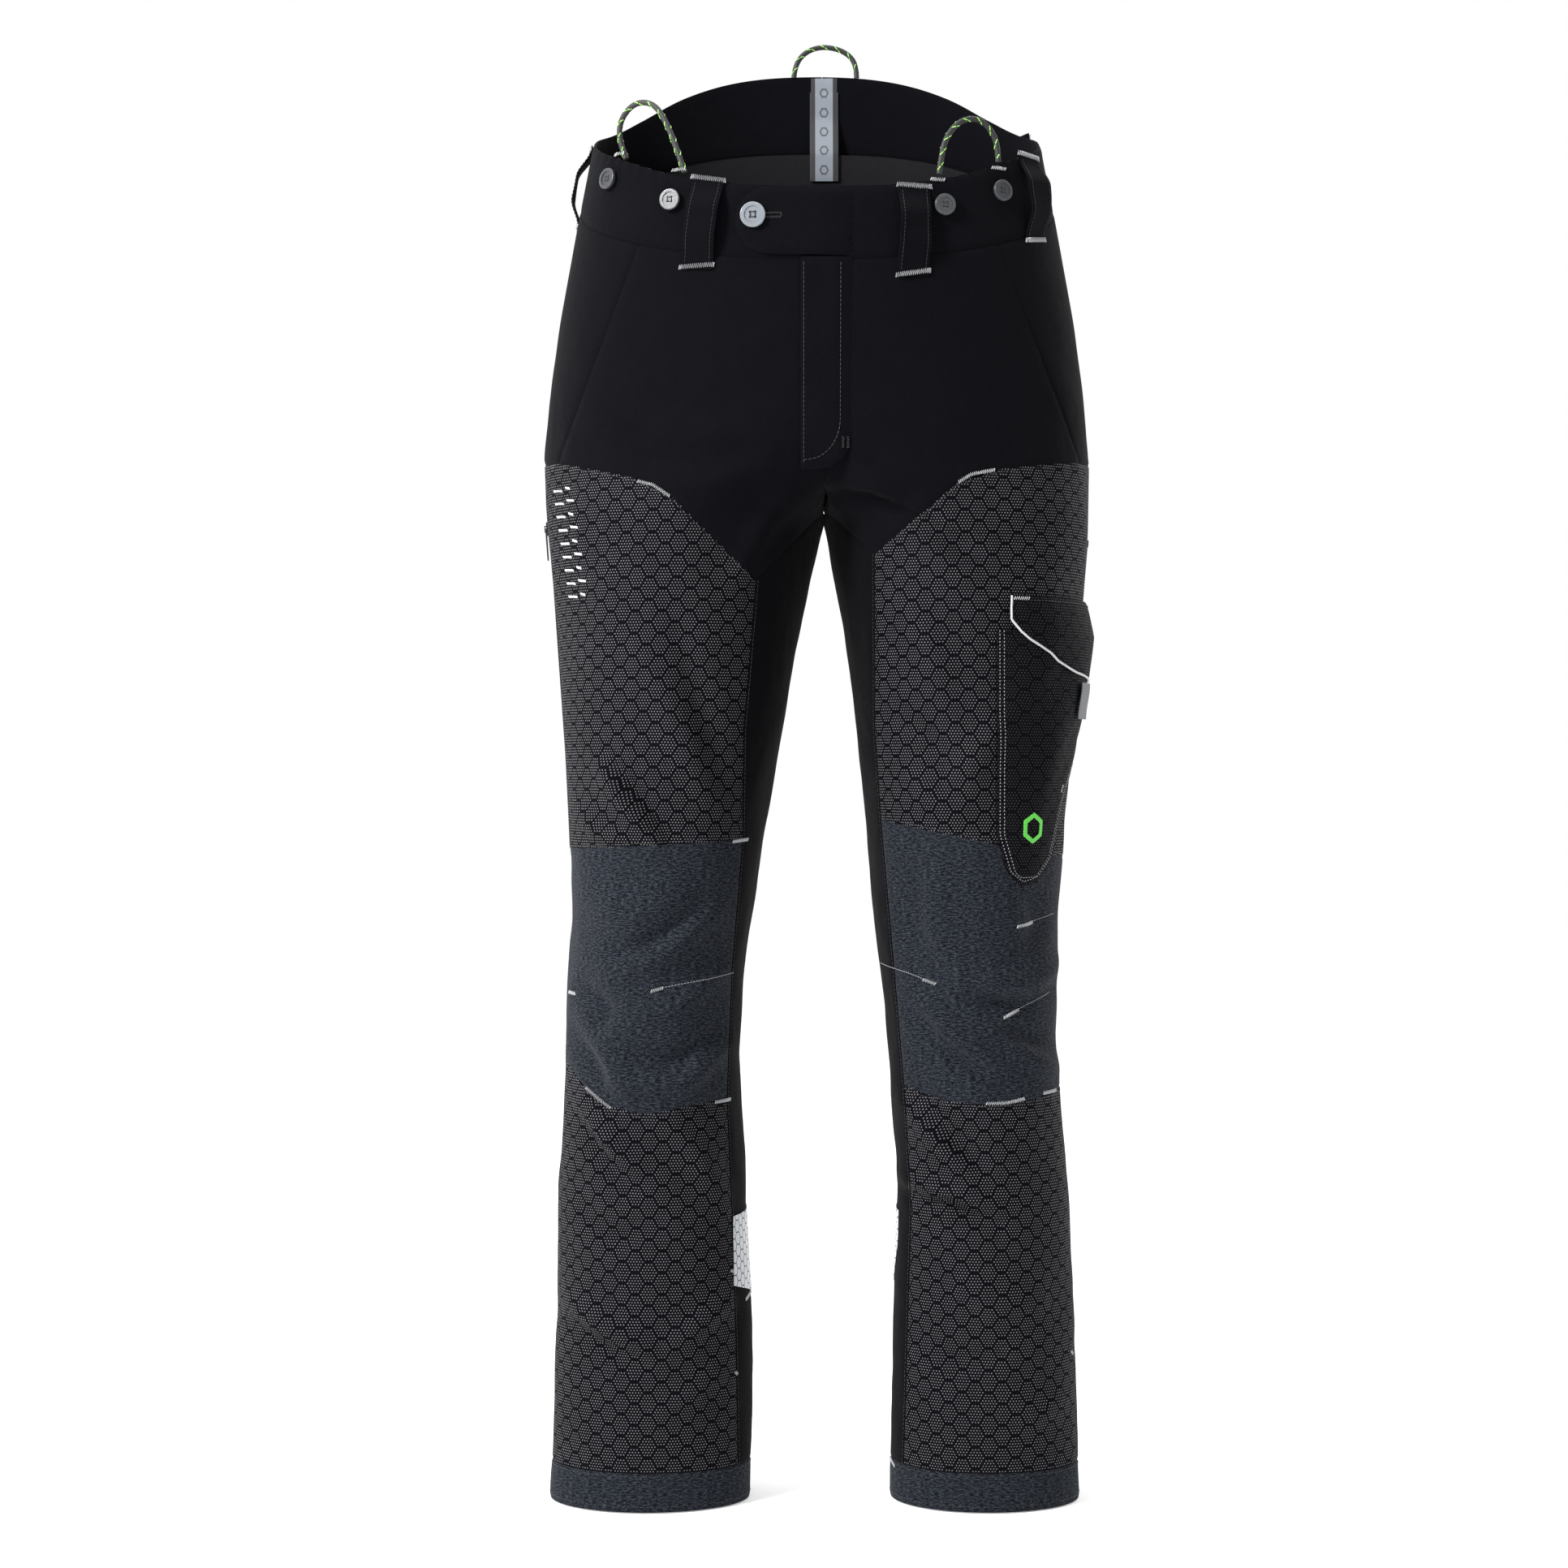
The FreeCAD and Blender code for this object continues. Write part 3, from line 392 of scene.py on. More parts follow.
def tube_mesh(paths, radius, sides=6, flatten=1.0):
    """Round threads along lists of points, closed at both ends, as one mesh."""
    points, faces = [], []
    for path in paths:
        path = [Vector(p) for p in path]
        first = len(points)
        up = Vector((0.31, 0.83, 0.46))
        for k, here in enumerate(path):
            ahead = (path[min(k + 1, len(path) - 1)] - path[max(k - 1, 0)]).normalized()
            side = ahead.cross(up)
            if side.length < 1e-3:
                side = ahead.orthogonal()
            side.normalize()
            up = side.cross(ahead)
            for j in range(sides):
                angle = TAU * j / sides
                points.append(here + side * math.cos(angle) * radius
                              + up * math.sin(angle) * radius * flatten)
        for k in range(len(path) - 1):
            for j in range(sides):
                a, b = first + k * sides + j, first + k * sides + (j + 1) % sides
                faces.append((b, a, a + sides, b + sides))
        faces.append(tuple(first + j for j in range(sides)))
        faces.append(tuple(first + (len(path) - 1) * sides + j for j in reversed(range(sides))))
    return points, faces


def along(line, step):
    """Points at even steps along a line of points, with the line's own ends."""
    line = np.asarray(line, float)
    far = np.concatenate([[0], np.cumsum(np.linalg.norm(np.diff(line, axis=0), axis=1))])
    count = max(1, int(round(far[-1] / step)))
    places = np.linspace(0, far[-1], count + 1)
    return np.stack([np.interp(places, far, line[:, k]) for k in range(line.shape[1])], 1)


def on_skin(leg, line, out, step=0.002):
    """A (turn, height) line as points in space, lifted off the skin."""
    flat = [(turn * PLAN, z) for turn, z in line]
    spots = along(flat, step)
    return skins[leg].spot(spots[:, 0] / PLAN, spots[:, 1], out)


def stitch_paths(path, long=0.0024, gap=0.0012):
    """Running stitches along a line in space."""
    spots = along(path, long + gap)
    share = long / (long + gap)
    return [[a, a + (b - a) * share * 0.5, a + (b - a) * share] for a, b in zip(spots, spots[1:])]


def bar_tack(path, normals, wide, pitch=0.0009):
    """A dense zig-zag of thread along a short line in space."""
    spots = along(path, pitch)
    sides = along(normals, pitch) if len(normals) == len(path) else normals
    made = []
    for k, here in enumerate(spots):
        ahead = spots[min(k + 1, len(spots) - 1)] - spots[max(k - 1, 0)]
        facing = sides[min(k, len(sides) - 1)]
        across = np.cross(facing, ahead)
        across /= max(np.linalg.norm(across), 1e-9)
        made.append(here + across * wide / 2 * (1 if k % 2 else -1))
    return [made]


# ---- folds: what the photograph shows, and faint creases all over ---------------------------

# Each fold, in tenths of a millimetre: three points as (x, height) on the front, how high it
# stands and how wide it is. Those on the back count x from the middle, and are on both legs.


def fold_table(rows):
    made = []
    for row in rows.split(","):
        a, b, c, d, e, f, high, wide = (int(n) / 10000 for n in row.split())
        made.append(([(a, b), (c, d), (e, f)], high, wide))
    return made


FOLDS = {
    "right": fold_table("""
        -1700 6120 -1480 5820 -1180 5450  -42 75, -1740 6000 -1550 5700 -1280 5400  46 100,
        -1960 5660 -1760 5480 -1500 5400  34 90, -1400 6900 -1050 6200 -850 5600  30 140,
        -1170 7300 -900 6400 -750 5900  -24 110, -1920 5000 -1500 4800 -1100 5000  36 200,
        -1950 4250 -1720 4050 -1820 3800  -48 110, -1700 4320 -1300 4460 -850 4820  42 100,
        -1650 4470 -1250 4620 -900 4920  -30 80, -1500 4000 -1100 4100 -700 4400  30 100,
        -1550 3720 -1150 3620 -800 3850  -34 90, -1650 3500 -1100 3450 -720 3780  48 110,
        -1850 3850 -1600 3600 -1500 3380  40 100, -2050 3900 -1850 3650 -1720 3400  -34 100,
        -1900 3300 -1650 2950 -1460 2780  40 110, -1940 3180 -1720 2850 -1500 2620  -36 90,
        -1200 3200 -950 2850 -750 2450  30 120, -2040 1680 -1720 1480 -1370 1340  40 110,
        -2000 1500 -1650 1280 -1400 1180  -32 90, -1170 1350 -950 1520 -700 1680  34 100,
        -1300 800 -1000 960 -800 1100  26 110, -1900 2400 -1600 2220 -1250 2320  -28 110,
        -150 8150 -450 7900 -660 7450  36 110, -400 8350 -850 8200 -1250 8280  26 120,
        -200 8450 -600 8600 -1200 8620  22 130"""),
    "left": fold_table("""
        15 8190 400 8100 760 7970  -40 60, 15 8290 450 8220 850 8060  36 100,
        800 7920 1020 7780 1280 7640  -36 90, 780 8060 1060 7900 1360 7760  40 90,
        600 7400 850 7000 1000 6500  30 150, 620 6400 880 6200 1020 6000  -34 120,
        660 6000 920 5700 1100 5600  30 120, 1500 6400 1280 6100 1150 5700  26 130,
        800 5200 760 4750 880 4400  -30 120, 920 5280 920 4700 1100 4400  30 130,
        1700 5000 1800 4700 1680 4550  -30 110, 1800 4400 1600 4250 1100 4320  46 100,
        1860 4240 1600 4080 1200 4140  -46 90, 1960 4440 1760 4200 1480 4020  34 90,
        850 4120 1050 3850 1450 3580  46 100, 800 4000 1100 3680 1500 3450  -40 85,
        1500 3920 1720 3800 1900 3720  -38 90, 1520 3780 1780 3620 1980 3520  30 100,
        700 3340 950 3000 1220 2680  42 110, 760 3450 1050 3050 1300 2820  -34 90,
        680 2660 1050 2580 1460 2440  40 90, 700 2530 1100 2440 1450 2320  -36 80,
        1100 1900 1400 1650 1800 1700  28 130, 800 1400 1100 1200 1500 1280  -26 110,
        1500 950 1750 750 1980 850  28 110"""),
}
BACK_FOLDS = fold_table("""
    600 5050 1100 4800 1800 4980  -50 100, 600 4800 1200 4580 1900 4700  46 110,
    700 4500 1300 4320 1850 4500  -42 90, 750 4200 1200 4100 1900 4020  38 110,
    800 3000 1200 2700 1800 2620  30 130, 700 7000 1100 6720 1650 6680  32 130,
    400 8000 850 7700 1500 7420  -40 110, 350 8220 900 7950 1600 7680  36 120,
    800 1300 1250 1080 1750 1180  -30 110, 850 900 1300 720 1700 800  30 110""")
FOLD_GAIN, FOLD_LIMIT = 2.0, 0.0090
CRINKLE_HIGH = 0.0019


def fold_heights(leg):
    """How far the folds and creases lift each point of a leg's skin."""
    skin = skins[leg]
    points = skin.points
    flat = np.stack([points[..., 0].ravel(), points[..., 2].ravel()], 1)
    front = np.sin(TURNS)[None, :].repeat(len(points), 0).ravel()
    total = np.zeros(len(flat))
    placed = [(line, high, wide, 1) for line, high, wide in FOLDS[leg]]
    placed += [([(SIDE[leg] * x, z + 0.006 * SIDE[leg]) for x, z in line], high, wide, -1)
               for line, high, wide in BACK_FOLDS]
    for line, high, wide, way in placed:
        path = along(line, 0.004)
        middle, half = path[len(path) // 2], np.linalg.norm(path[-1] - path[0]) / 2
        far = edge_distance(flat, path, closed=False)
        ends = np.clip(1.15 - np.linalg.norm(flat - middle, axis=1) / (half * 1.15), 0, 1)
        shape = np.exp(-(far / (wide * 0.9)) ** 2) * ends ** 0.7 * np.clip(front * way * 2.2, 0, 1)
        total += high * FOLD_GAIN * shape
    crinkle = np.array([noise.fractal(Vector((p[0] * 17 + 5, p[1] * 17, p[2] * 11)), 1.0, 2.1, 3)
                        for p in points.reshape(-1, 3)])
    total += crinkle * CRINKLE_HIGH
    # the folds die away at the hem and the waist, and behind the fly, the vents and the flap
    z = flat[:, 1]
    calm = np.clip((z - 0.004) / 0.03, 0.25, 1) * np.clip((0.955 - z) / 0.07, 0, 1)
    calm *= 1 - 0.85 * np.exp(-((flat[:, 0] - 0.006) / 0.030) ** 4) * (z > 0.82)
    around = TURNS[None, :].repeat(len(points), 0).ravel()
    vent = np.clip(1 - np.abs(np.mod(around + 0.15 + math.pi, TAU) - math.pi) / 0.34, 0, 1)
    calm *= 1 - np.clip(vent * 3, 0, 1) * ((z > 0.53) & (z < 0.85))
    flap = np.clip((0.55 - np.abs(around - 0.28)) / 0.18, 0, 1) * (leg == "left")
    calm *= 1 - 0.9 * flap * (np.abs(z - 0.690) < 0.065)
    total = np.clip(total * calm, -FOLD_LIMIT, FOLD_LIMIT).reshape(points.shape[:2])
    total[:, -1] = total[:, 0] = (total[:, -1] + total[:, 0]) / 2
    return total


for leg in SIDE:
    skins[leg].lift(fold_heights(leg))


# ---- materials ----------------------------------------------------------------------------

SHEEN_ROUGH = 0.45


def feed(tree, item, socket):
    """Give a node's input a value: another node's output, a number or a colour."""
    item = item.socket if isinstance(item, Value) else item
    if isinstance(item, bpy.types.NodeSocket):
        tree.links.new(item, socket)
    else:
        socket.default_value = (*item, 1.0) if isinstance(item, tuple) else item


class Value:
    """A number in a material's node graph, for writing its arithmetic as sums."""

    def __init__(self, tree, socket):
        self.tree, self.socket = tree, socket

    def through(self, node, *items):
        for item, socket in zip((self, *items), node.inputs):
            feed(self.tree, item, socket)
        return Value(self.tree, node.outputs[0])

    def op(self, kind, *others):
        node = self.tree.nodes.new("ShaderNodeMath")
        node.operation = kind
        return self.through(node, *others)

    def __add__(self, other):
        return self.op("ADD", other)

    def __sub__(self, other):
        return self.op("SUBTRACT", other)

    def __mul__(self, other):
        return self.op("MULTIPLY", other)

    def __truediv__(self, other):
        return self.op("DIVIDE", other)

    def below(self, limit, soft):
        """1 where this is under the limit, 0 over it, with a soft step between."""
        node = self.tree.nodes.new("ShaderNodeMapRange")
        node.interpolation_type = "SMOOTHSTEP"
        return self.through(node, limit - soft, limit + soft, 1.0, 0.0)


class Paint:
    """A procedural material: its node graph, and the cloth's own coordinates in millimetres."""

    def __init__(self, name):
        self.material = bpy.data.materials.new(name)
        self.material.use_nodes = True
        self.tree = self.material.node_tree
        self.shader = next(n for n in self.tree.nodes if n.type == "BSDF_PRINCIPLED")
        uv = self.tree.nodes.new("ShaderNodeUVMap")
        uv.uv_map = "cloth"
        parts = self.tree.nodes.new("ShaderNodeSeparateXYZ")
        self.tree.links.new(uv.outputs[0], parts.inputs[0])
        self.u, self.v = (Value(self.tree, parts.outputs[k]) * 1000 for k in (0, 1))
        self.place = self.tree.nodes.new("ShaderNodeTexCoord").outputs["Object"]

    def vector(self, x, y):
        node = self.tree.nodes.new("ShaderNodeCombineXYZ")
        return x.through(node, y).socket

    def noise(self, where, scale, detail=2.0, rough=0.5):
        node = self.tree.nodes.new("ShaderNodeTexNoise")
        node.inputs["Scale"].default_value = scale
        node.inputs["Detail"].default_value = detail
        node.inputs["Roughness"].default_value = rough
        self.tree.links.new(where, node.inputs["Vector"])
        return Value(self.tree, node.outputs[0])

    def mix(self, share, a, b):
        node = self.tree.nodes.new("ShaderNodeMix")
        node.data_type = "RGBA"
        for item, k in ((share, 0), (a, 6), (b, 7)):
            feed(self.tree, item, node.inputs[k])
        return node.outputs[2]

    def finish(self, colour, rough, bumps=(), sheen=0.0, metal=0.0, gloss=0.5, coat=0.0):
        """Wire the shader. Bumps are (height, distance in metres) pairs, coarse first."""
        for socket, item in (("Base Color", colour), ("Roughness", rough), ("Metallic", metal),
                             ("Specular IOR Level", gloss), ("Coat Weight", coat), ("Sheen Weight", sheen),
                             ("Sheen Roughness", SHEEN_ROUGH)):
            feed(self.tree, item, self.shader.inputs[socket])
        socket = None
        for height, distance in bumps:
            node = self.tree.nodes.new("ShaderNodeBump")
            for name, item in (("Strength", 1.0), ("Distance", distance), ("Height", height)):
                feed(self.tree, item, node.inputs[name])
            if socket is not None:
                self.tree.links.new(socket, node.inputs["Normal"])
            socket = node.outputs[0]
        if socket is not None:
            self.tree.links.new(socket, self.shader.inputs["Normal"])
        return self.material


def scaled(colour, gain):
    return tuple(min(1.0, c * gain) for c in colour)


def twill(p, pitch):
    """Fine diagonal ribs crossed by the weft, from 0 to 1."""
    rib = ((p.u + p.v) * (TAU / pitch)).op("SINE")
    weft = (p.v * (2 * TAU / pitch)).op("SINE")
    return rib * 0.35 + weft * 0.15 + 0.5


def flat_noise(p, across, up, *more):
    """Noise over the cloth's own plane, with its scales in cycles for each millimetre."""
    return p.noise(p.vector(p.u * across, p.v * up), *more)


def plain_cloth(name, base, light, pitch=0.9):
    """Woven cloth in one shade, a little cloudy, with its ribs and a soft handle."""
    p = Paint(name)
    weave = twill(p, pitch)
    cloud = flat_noise(p, 0.012, 0.012, 3.0, 4.0, 0.6)
    slubs = flat_noise(p, 0.9, 0.14, 1.0, 2.0)
    share = weave * 0.45 + cloud * 0.5 + slubs * 0.5 - 0.35
    colour = p.mix(share.op("MINIMUM", 1.0).op("MAXIMUM", 0.0), base, light)
    return p.finish(colour, 0.85, [(cloud, 0.0012), (slubs, 0.00012), (weave, 0.00010)],
                    sheen=0.02, gloss=0.05)


def hexagon(p, wide, high, x, y):
    """How far a point is from a hexagon's centre, 1 at its sides; the sides slant by a quarter."""
    across = (x.op("ABSOLUTE") + y.op("ABSOLUTE") * (wide / 2 / (high / 2))) / wide
    upright = y.op("ABSOLUTE") / (high / 2)
    return across.op("MAXIMUM", upright)


def hex_dots(name, base, dot, dot_radius):
    """Dark ripstop printed with raised pale dots, grouped in hexagons."""
    p = Paint(name)
    cell, high, pitch = 10.8, 17.6, 2.4
    slope, half_wide = 0.409, 7.2
    row_gap = high / 8
    picks = []
    for shift in (0.0, 1.0):
        x = p.u + shift * cell + 1000 * 2 * cell
        y = p.v + shift * high / 2
        local_x = (x / (2 * cell)).op("FRACT") * (2 * cell) - cell
        local_y = (y / high).op("FRACT") * high - high / 2
        across = (local_x.op("ABSOLUTE") + local_y.op("ABSOLUTE") * slope) / half_wide
        upright = local_y.op("ABSOLUTE") / (high / 2)
        picks.append((local_x, local_y, across.op("MAXIMUM", upright)))
    first = picks[0][2].op("LESS_THAN", picks[1][2])
    second = first * -1 + 1
    x = picks[0][0] * first + picks[1][0] * second
    y = picks[0][1] * first + picks[1][1] * second
    row = (y / row_gap).op("ROUND")
    odd = (row.op("ABSOLUTE") * 0.5).op("FRACT") * 2
    shifted = x + (odd * -1 + 1) * (pitch / 2)
    column = (shifted / pitch).op("ROUND")
    off_x = shifted - column * pitch
    off_y = y - row * row_gap
    centre_x = (x - off_x).op("ABSOLUTE")
    centre_y = (row * row_gap).op("ABSOLUTE")
    size = ((centre_x + centre_y * slope) / half_wide).op("MAXIMUM", centre_y / (high / 2))
    here = size.below(0.92, 0.02)
    far = (off_x * off_x + off_y * off_y).op("SQRT")
    spot = far.below(dot_radius, 0.14) * here
    wear = flat_noise(p, 0.02, 0.02, 2.0, 5.0, 0.6)
    weave = twill(p, 0.8)
    under = p.mix(weave * 0.6, base, scaled(base, 2.2))
    print_tone = p.mix(wear, scaled(dot, 0.72), dot)
    colour = p.mix(spot, under, print_tone)
    return p.finish(colour, spot * -0.18 + 0.72, [(wear, 0.0010), (spot, 0.00016), (weave, 0.00007)],
                    gloss=spot * 0.12 + 0.04)


def melange(name, dark, middle, pale):
    """Heathered stretch cloth: short wavy pale fibres on a dark ground."""
    p = Paint(name)
    drift = flat_noise(p, 0.12, 0.12, 1.0, 2.0)
    wavy = p.v + drift * 2.2
    fibre = p.noise(p.vector(p.u * 0.24, wavy * 0.95), 1.0, 3.0, 0.65)
    fine = p.noise(p.vector(p.u * 0.70, wavy * 2.4), 1.0, 2.0, 0.6)
    strand = fibre * 0.6 + fine * 0.4
    light = strand.below(0.53, 0.07) * -1 + 1
    deep = strand.below(0.43, 0.05)
    colour = p.mix(deep, p.mix(light, middle, pale), dark)
    rib = (wavy * (TAU / 0.9)).op("SINE")
    cloud = flat_noise(p, 0.012, 0.012, 3.0, 4.0, 0.6)
    return p.finish(colour, 0.85, [(cloud, 0.0012), (strand, 0.0003), (rib, 0.00006)],
                    sheen=0.04, gloss=0.05)


def thread(name, tone):
    """Twisted sewing thread."""
    p = Paint(name)
    grain = p.noise(p.place, 2600.0, 2.0)
    return p.finish(p.mix(grain, scaled(tone, 0.6), tone), 0.6, [(grain, 0.0001)], sheen=0.2)


def moulded(name, base, rough, coat=0.0, metal=0.0):
    """Moulded or enamelled hard parts, with a fine grain and handling wear."""
    p = Paint(name)
    cloud = p.noise(p.place, 90.0, 4.0, 0.6)
    grain = p.noise(p.place, 1500.0, 3.0, 0.6)
    colour = p.mix(cloud, scaled(base, 0.85), scaled(base, 1.15))
    return p.finish(colour, grain * 0.15 + rough - 0.07, [(grain, 0.00003)], metal=metal, coat=coat)


def reflective(name):
    """Silver-white film with thin dark hexagon lines."""
    p = Paint(name)
    cell, high = 6.0, 9.8
    sizes = []
    for shift in (0.0, 1.0):
        x = ((p.u + shift * cell + 2000 * cell) / (2 * cell)).op("FRACT") * (2 * cell) - cell
        y = ((p.v + shift * high / 2) / high).op("FRACT") * high - high / 2
        sizes.append(hexagon(p, 4.0, high, x, y))
    edge = sizes[0].op("MINIMUM", sizes[1])
    line = edge.below(0.90, 0.03) * -1 + 1
    bead = flat_noise(p, 3.0, 3.0, 1.0, 2.0)
    colour = p.mix(line, p.mix(bead, (0.42, 0.44, 0.46), (0.60, 0.62, 0.65)), (0.03, 0.03, 0.035))
    return p.finish(colour, line * 0.3 + 0.32, [(line, -0.0001), (bead, 0.00005)], gloss=0.7)


def silver_tape(name):
    """Silver tape with black edges and a row of plain outlined hexagons."""
    p = Paint(name)
    edge = p.u.op("ABSOLUTE").below(7.6, 0.12)
    y = (p.v / 17.0).op("FRACT") * 17.0 - 8.5
    size = hexagon(p, 4.2, 8.4, p.u, y)
    ring = size.below(0.98, 0.05) * (size.below(0.62, 0.05) * -1 + 1)
    weave = ((p.u * 9.0).op("SINE") * (p.v * 9.0).op("SINE")) * 0.5 + 0.5
    silver = p.mix(weave, (0.14, 0.16, 0.19), (0.23, 0.26, 0.30))
    colour = p.mix(edge, (0.012, 0.012, 0.015), p.mix(ring, silver, (0.05, 0.05, 0.06)))
    return p.finish(colour, edge * -0.28 + 0.7, [(weave, 0.00008)], gloss=0.6)


def webbing(name, dark, pale):
    """Grey woven tape with chevron ribs."""
    p = Paint(name)
    zig = ((p.u / 6.0).op("FRACT") - 0.5).op("ABSOLUTE") * 6.0
    rib = ((p.v + zig) * (TAU / 1.6)).op("SINE") * 0.5 + 0.5
    grain = flat_noise(p, 2.0, 2.0, 1.0, 2.0)
    colour = p.mix(rib * 0.7 + grain * 0.3, dark, pale)
    return p.finish(colour, 0.8, [(rib, 0.0003), (grain, 0.0001)], sheen=0.1)


def braid(name, base, fleck, tint):
    """Black braided sheath; u runs round the cord and v along it, in turns and strands."""
    p = Paint(name)
    a = (p.u * 0.008 + p.v * 0.36).op("FRACT")
    b = (p.u * 0.008 - p.v * 0.36 + 100).op("FRACT")
    height = (a - 0.5).op("ABSOLUTE") + (b - 0.5).op("ABSOLUTE")
    paired = (p.v / 7.6).op("FRACT").below(0.34, 0.03) * (p.u * 0.001).op("FRACT").below(0.55, 0.05)
    strand = ((p.u * 0.004 + p.v * 0.18).op("FRACT") - 0.5).op("ABSOLUTE").below(0.3, 0.05)
    grain = p.noise(p.place, 3000.0, 2.0)
    colour = p.mix(grain, base, scaled(base, 2.5))
    colour = p.mix(paired * strand, colour, p.mix(grain, fleck, tint))
    return p.finish(colour, 0.6, [(height, 0.0004), (grain, 0.0001)], sheen=0.1)


def fibre_pad(name):
    """Loose pale cut-stopping fibres, along and across."""
    p = Paint(name)
    strand = flat_noise(p, 0.25, 3.0, 1.0, 3.0, 0.7)
    cross = flat_noise(p, 3.0, 0.25, 1.0, 3.0, 0.7)
    colour = p.mix(strand * 0.6 + cross * 0.4, (0.42, 0.41, 0.36), (0.86, 0.85, 0.78))
    return p.finish(colour, 0.9, [(strand, 0.0006), (cross, 0.0005)], sheen=0.2)


softshell = plain_cloth("softshell", (0.0014, 0.0015, 0.0026), (0.0030, 0.0031, 0.0048))
stretch = plain_cloth("stretch_cloth", (0.0013, 0.0013, 0.0020), (0.0027, 0.0027, 0.0037), pitch=0.7)
lining_cloth = plain_cloth("lining_cloth", (0.008, 0.008, 0.009), (0.016, 0.016, 0.018), pitch=1.6)
pocket_cloth = plain_cloth("pocket_bag_cloth", (0.012, 0.012, 0.014), (0.03, 0.03, 0.034), pitch=0.6)
tape_cloth = plain_cloth("zip_tape", (0.008, 0.008, 0.009), (0.02, 0.02, 0.022), pitch=0.8)
GUARD_BASE = (0.0016, 0.0015, 0.0024)
guard_weave = hex_dots("guard_weave", GUARD_BASE, (0.165, 0.165, 0.178), 0.52)
pocket_weave = hex_dots("pocket_weave", GUARD_BASE, (0.034, 0.033, 0.037), 0.48)
melange_cloth = melange("melange_cloth", (0.0016, 0.0020, 0.0032), (0.0052, 0.0066, 0.0098),
                        (0.038, 0.044, 0.055))
white_thread = thread("white_thread", (0.58, 0.59, 0.60))
dark_thread = thread("dark_thread", (0.010, 0.010, 0.012))
pale_thread = thread("pale_thread", (0.30, 0.31, 0.32))
grey_thread = thread("grey_thread", (0.020, 0.020, 0.024))
lime_thread = thread("lime_thread", (0.42, 0.95, 0.16))
green_mark = thread("green_mark", (0.10, 0.62, 0.05))
reflective_print = reflective("reflective_print")
pearl = moulded("button_pearl", (0.20, 0.215, 0.24), 0.25, coat=0.4)
smoke = moulded("button_grey", (0.035, 0.037, 0.042), 0.28, coat=0.4)
black_metal = moulded("zip_metal", (0.02, 0.02, 0.022), 0.35, metal=0.6)
black_pull = moulded("zip_pull", (0.02, 0.02, 0.021), 0.5)
coil_plastic = moulded("zip_coil", (0.015, 0.015, 0.016), 0.4)
tape_silver = silver_tape("back_tape")
grey_webbing = webbing("webbing", (0.05, 0.052, 0.058), (0.24, 0.25, 0.27))
guard_fibre = fibre_pad("saw_guard_fibre")
lime_braid = braid("cord_sheath", (0.006, 0.007, 0.006), (0.16, 0.55, 0.03), (0.45, 0.85, 0.20))


# ---- seam lines, as (distance from the middle towards the leg's own side, height) ------------

INNER_SEAM = {
    "right": [(.049, .747), (.059, .628), (.060, .540), (.069, .434), (.073, .331), (.069, .240),
              (.066, .140), (.064, .030)],
    "left": [(.045, .768), (.046, .628), (.051, .556), (.062, .434), (.070, .341), (.076, .240),
             (.073, .140), (.070, .030)],
}
THIGH_TOP = {
    "right": [(.240, .848), (.209, .8426), (.143, .826), (.117, .812), (.049, .747)],
    "left": [(.240, .847), (.212, .8436), (.140, .833), (.110, .822), (.045, .768)],
}
KNEE_TOP = {
    "right": [(.240, .530), (.194, .533), (.060, .540)],
    "left": [(.240, .520), (.200, .526), (.141, .537), (.092, .547), (.051, .556)],
}
KNEE_LOW = {
    "right": [(.240, .372), (.202, .356), (.187, .340), (.166, .327), (.141, .321), (.073, .331)],
    "left": [(.240, .338), (.193, .336), (.166, .331), (.135, .329), (.099, .331), (.070, .341)],
}
SLASH_TOP = (.134, 1.034)
# the band's lower seam and the waist edge, seen from the side, as (depth, height)
BAND_SEAM = [(-.150, .974), (-.115, .997), (-.080, 1.018), (0, 1.059), (.060, 1.089), (.121, 1.130),
             (.150, 1.150)]
WAIST_EDGE = [(-.150, 1.030), (-.115, 1.054), (-.100, 1.065), (-.066, 1.087), (0, 1.113), (.050, 1.130),
              (.079, 1.149), (.101, 1.173), (.121, 1.196), (.150, 1.226)]
HEM_HEIGHT = 0.031
SEAM_GAP = 0.0002
VENT_LOW, VENT_HIGH, VENT_EDGE = 0.560, 0.822, 0.0195


def smooth_line(points, count=12):
    """A soft line through points seen from the side."""
    spots = [np.array(p) for p in points]
    spots = [2 * spots[0] - points[1]] + spots + [2 * spots[-1] - points[-2]]
    made = []
    for a, b, c, d in zip(spots, spots[1:], spots[2:], spots[3:]):
        for t in (k / count for k in range(count)):
            made.append(0.5 * (2 * b + (c - a) * t + (2 * a - 5 * b + 4 * c - d) * t ** 2
                               + (3 * b - a - 3 * c + d) * t ** 3))
    return np.array(made + [spots[-2]])


PROFILE = {"seam": smooth_line(BAND_SEAM), "edge": smooth_line(WAIST_EDGE)}


def level_line(leg, which, start, end, shift=0.0, step=0.03):
    """Where the band's seam or edge crosses the skin, from one turn to another."""
    line, skin = PROFILE[which], skins[leg]
    made = []
    for turn in np.linspace(start, end, max(2, int(abs(end - start) / step))):
        height = 1.05
        for _ in range(12):
            depth = float(skin.spot(turn, height)[1])
            height += 0.6 * (float(np.interp(depth, line[:, 0], line[:, 1])) + shift - height)
        made.append((float(turn), height))
    return made


def stretch_of(line, high, low):
    """The part of a falling line between two heights."""
    heights = [-z for _, z in line]
    ends = [(float(np.interp(-z, heights, [t for t, _ in line])), z) for z in (high, low)]
    return [ends[0]] + [p for p in line if low + 1e-4 < p[1] < high - 1e-4] + [ends[1]]


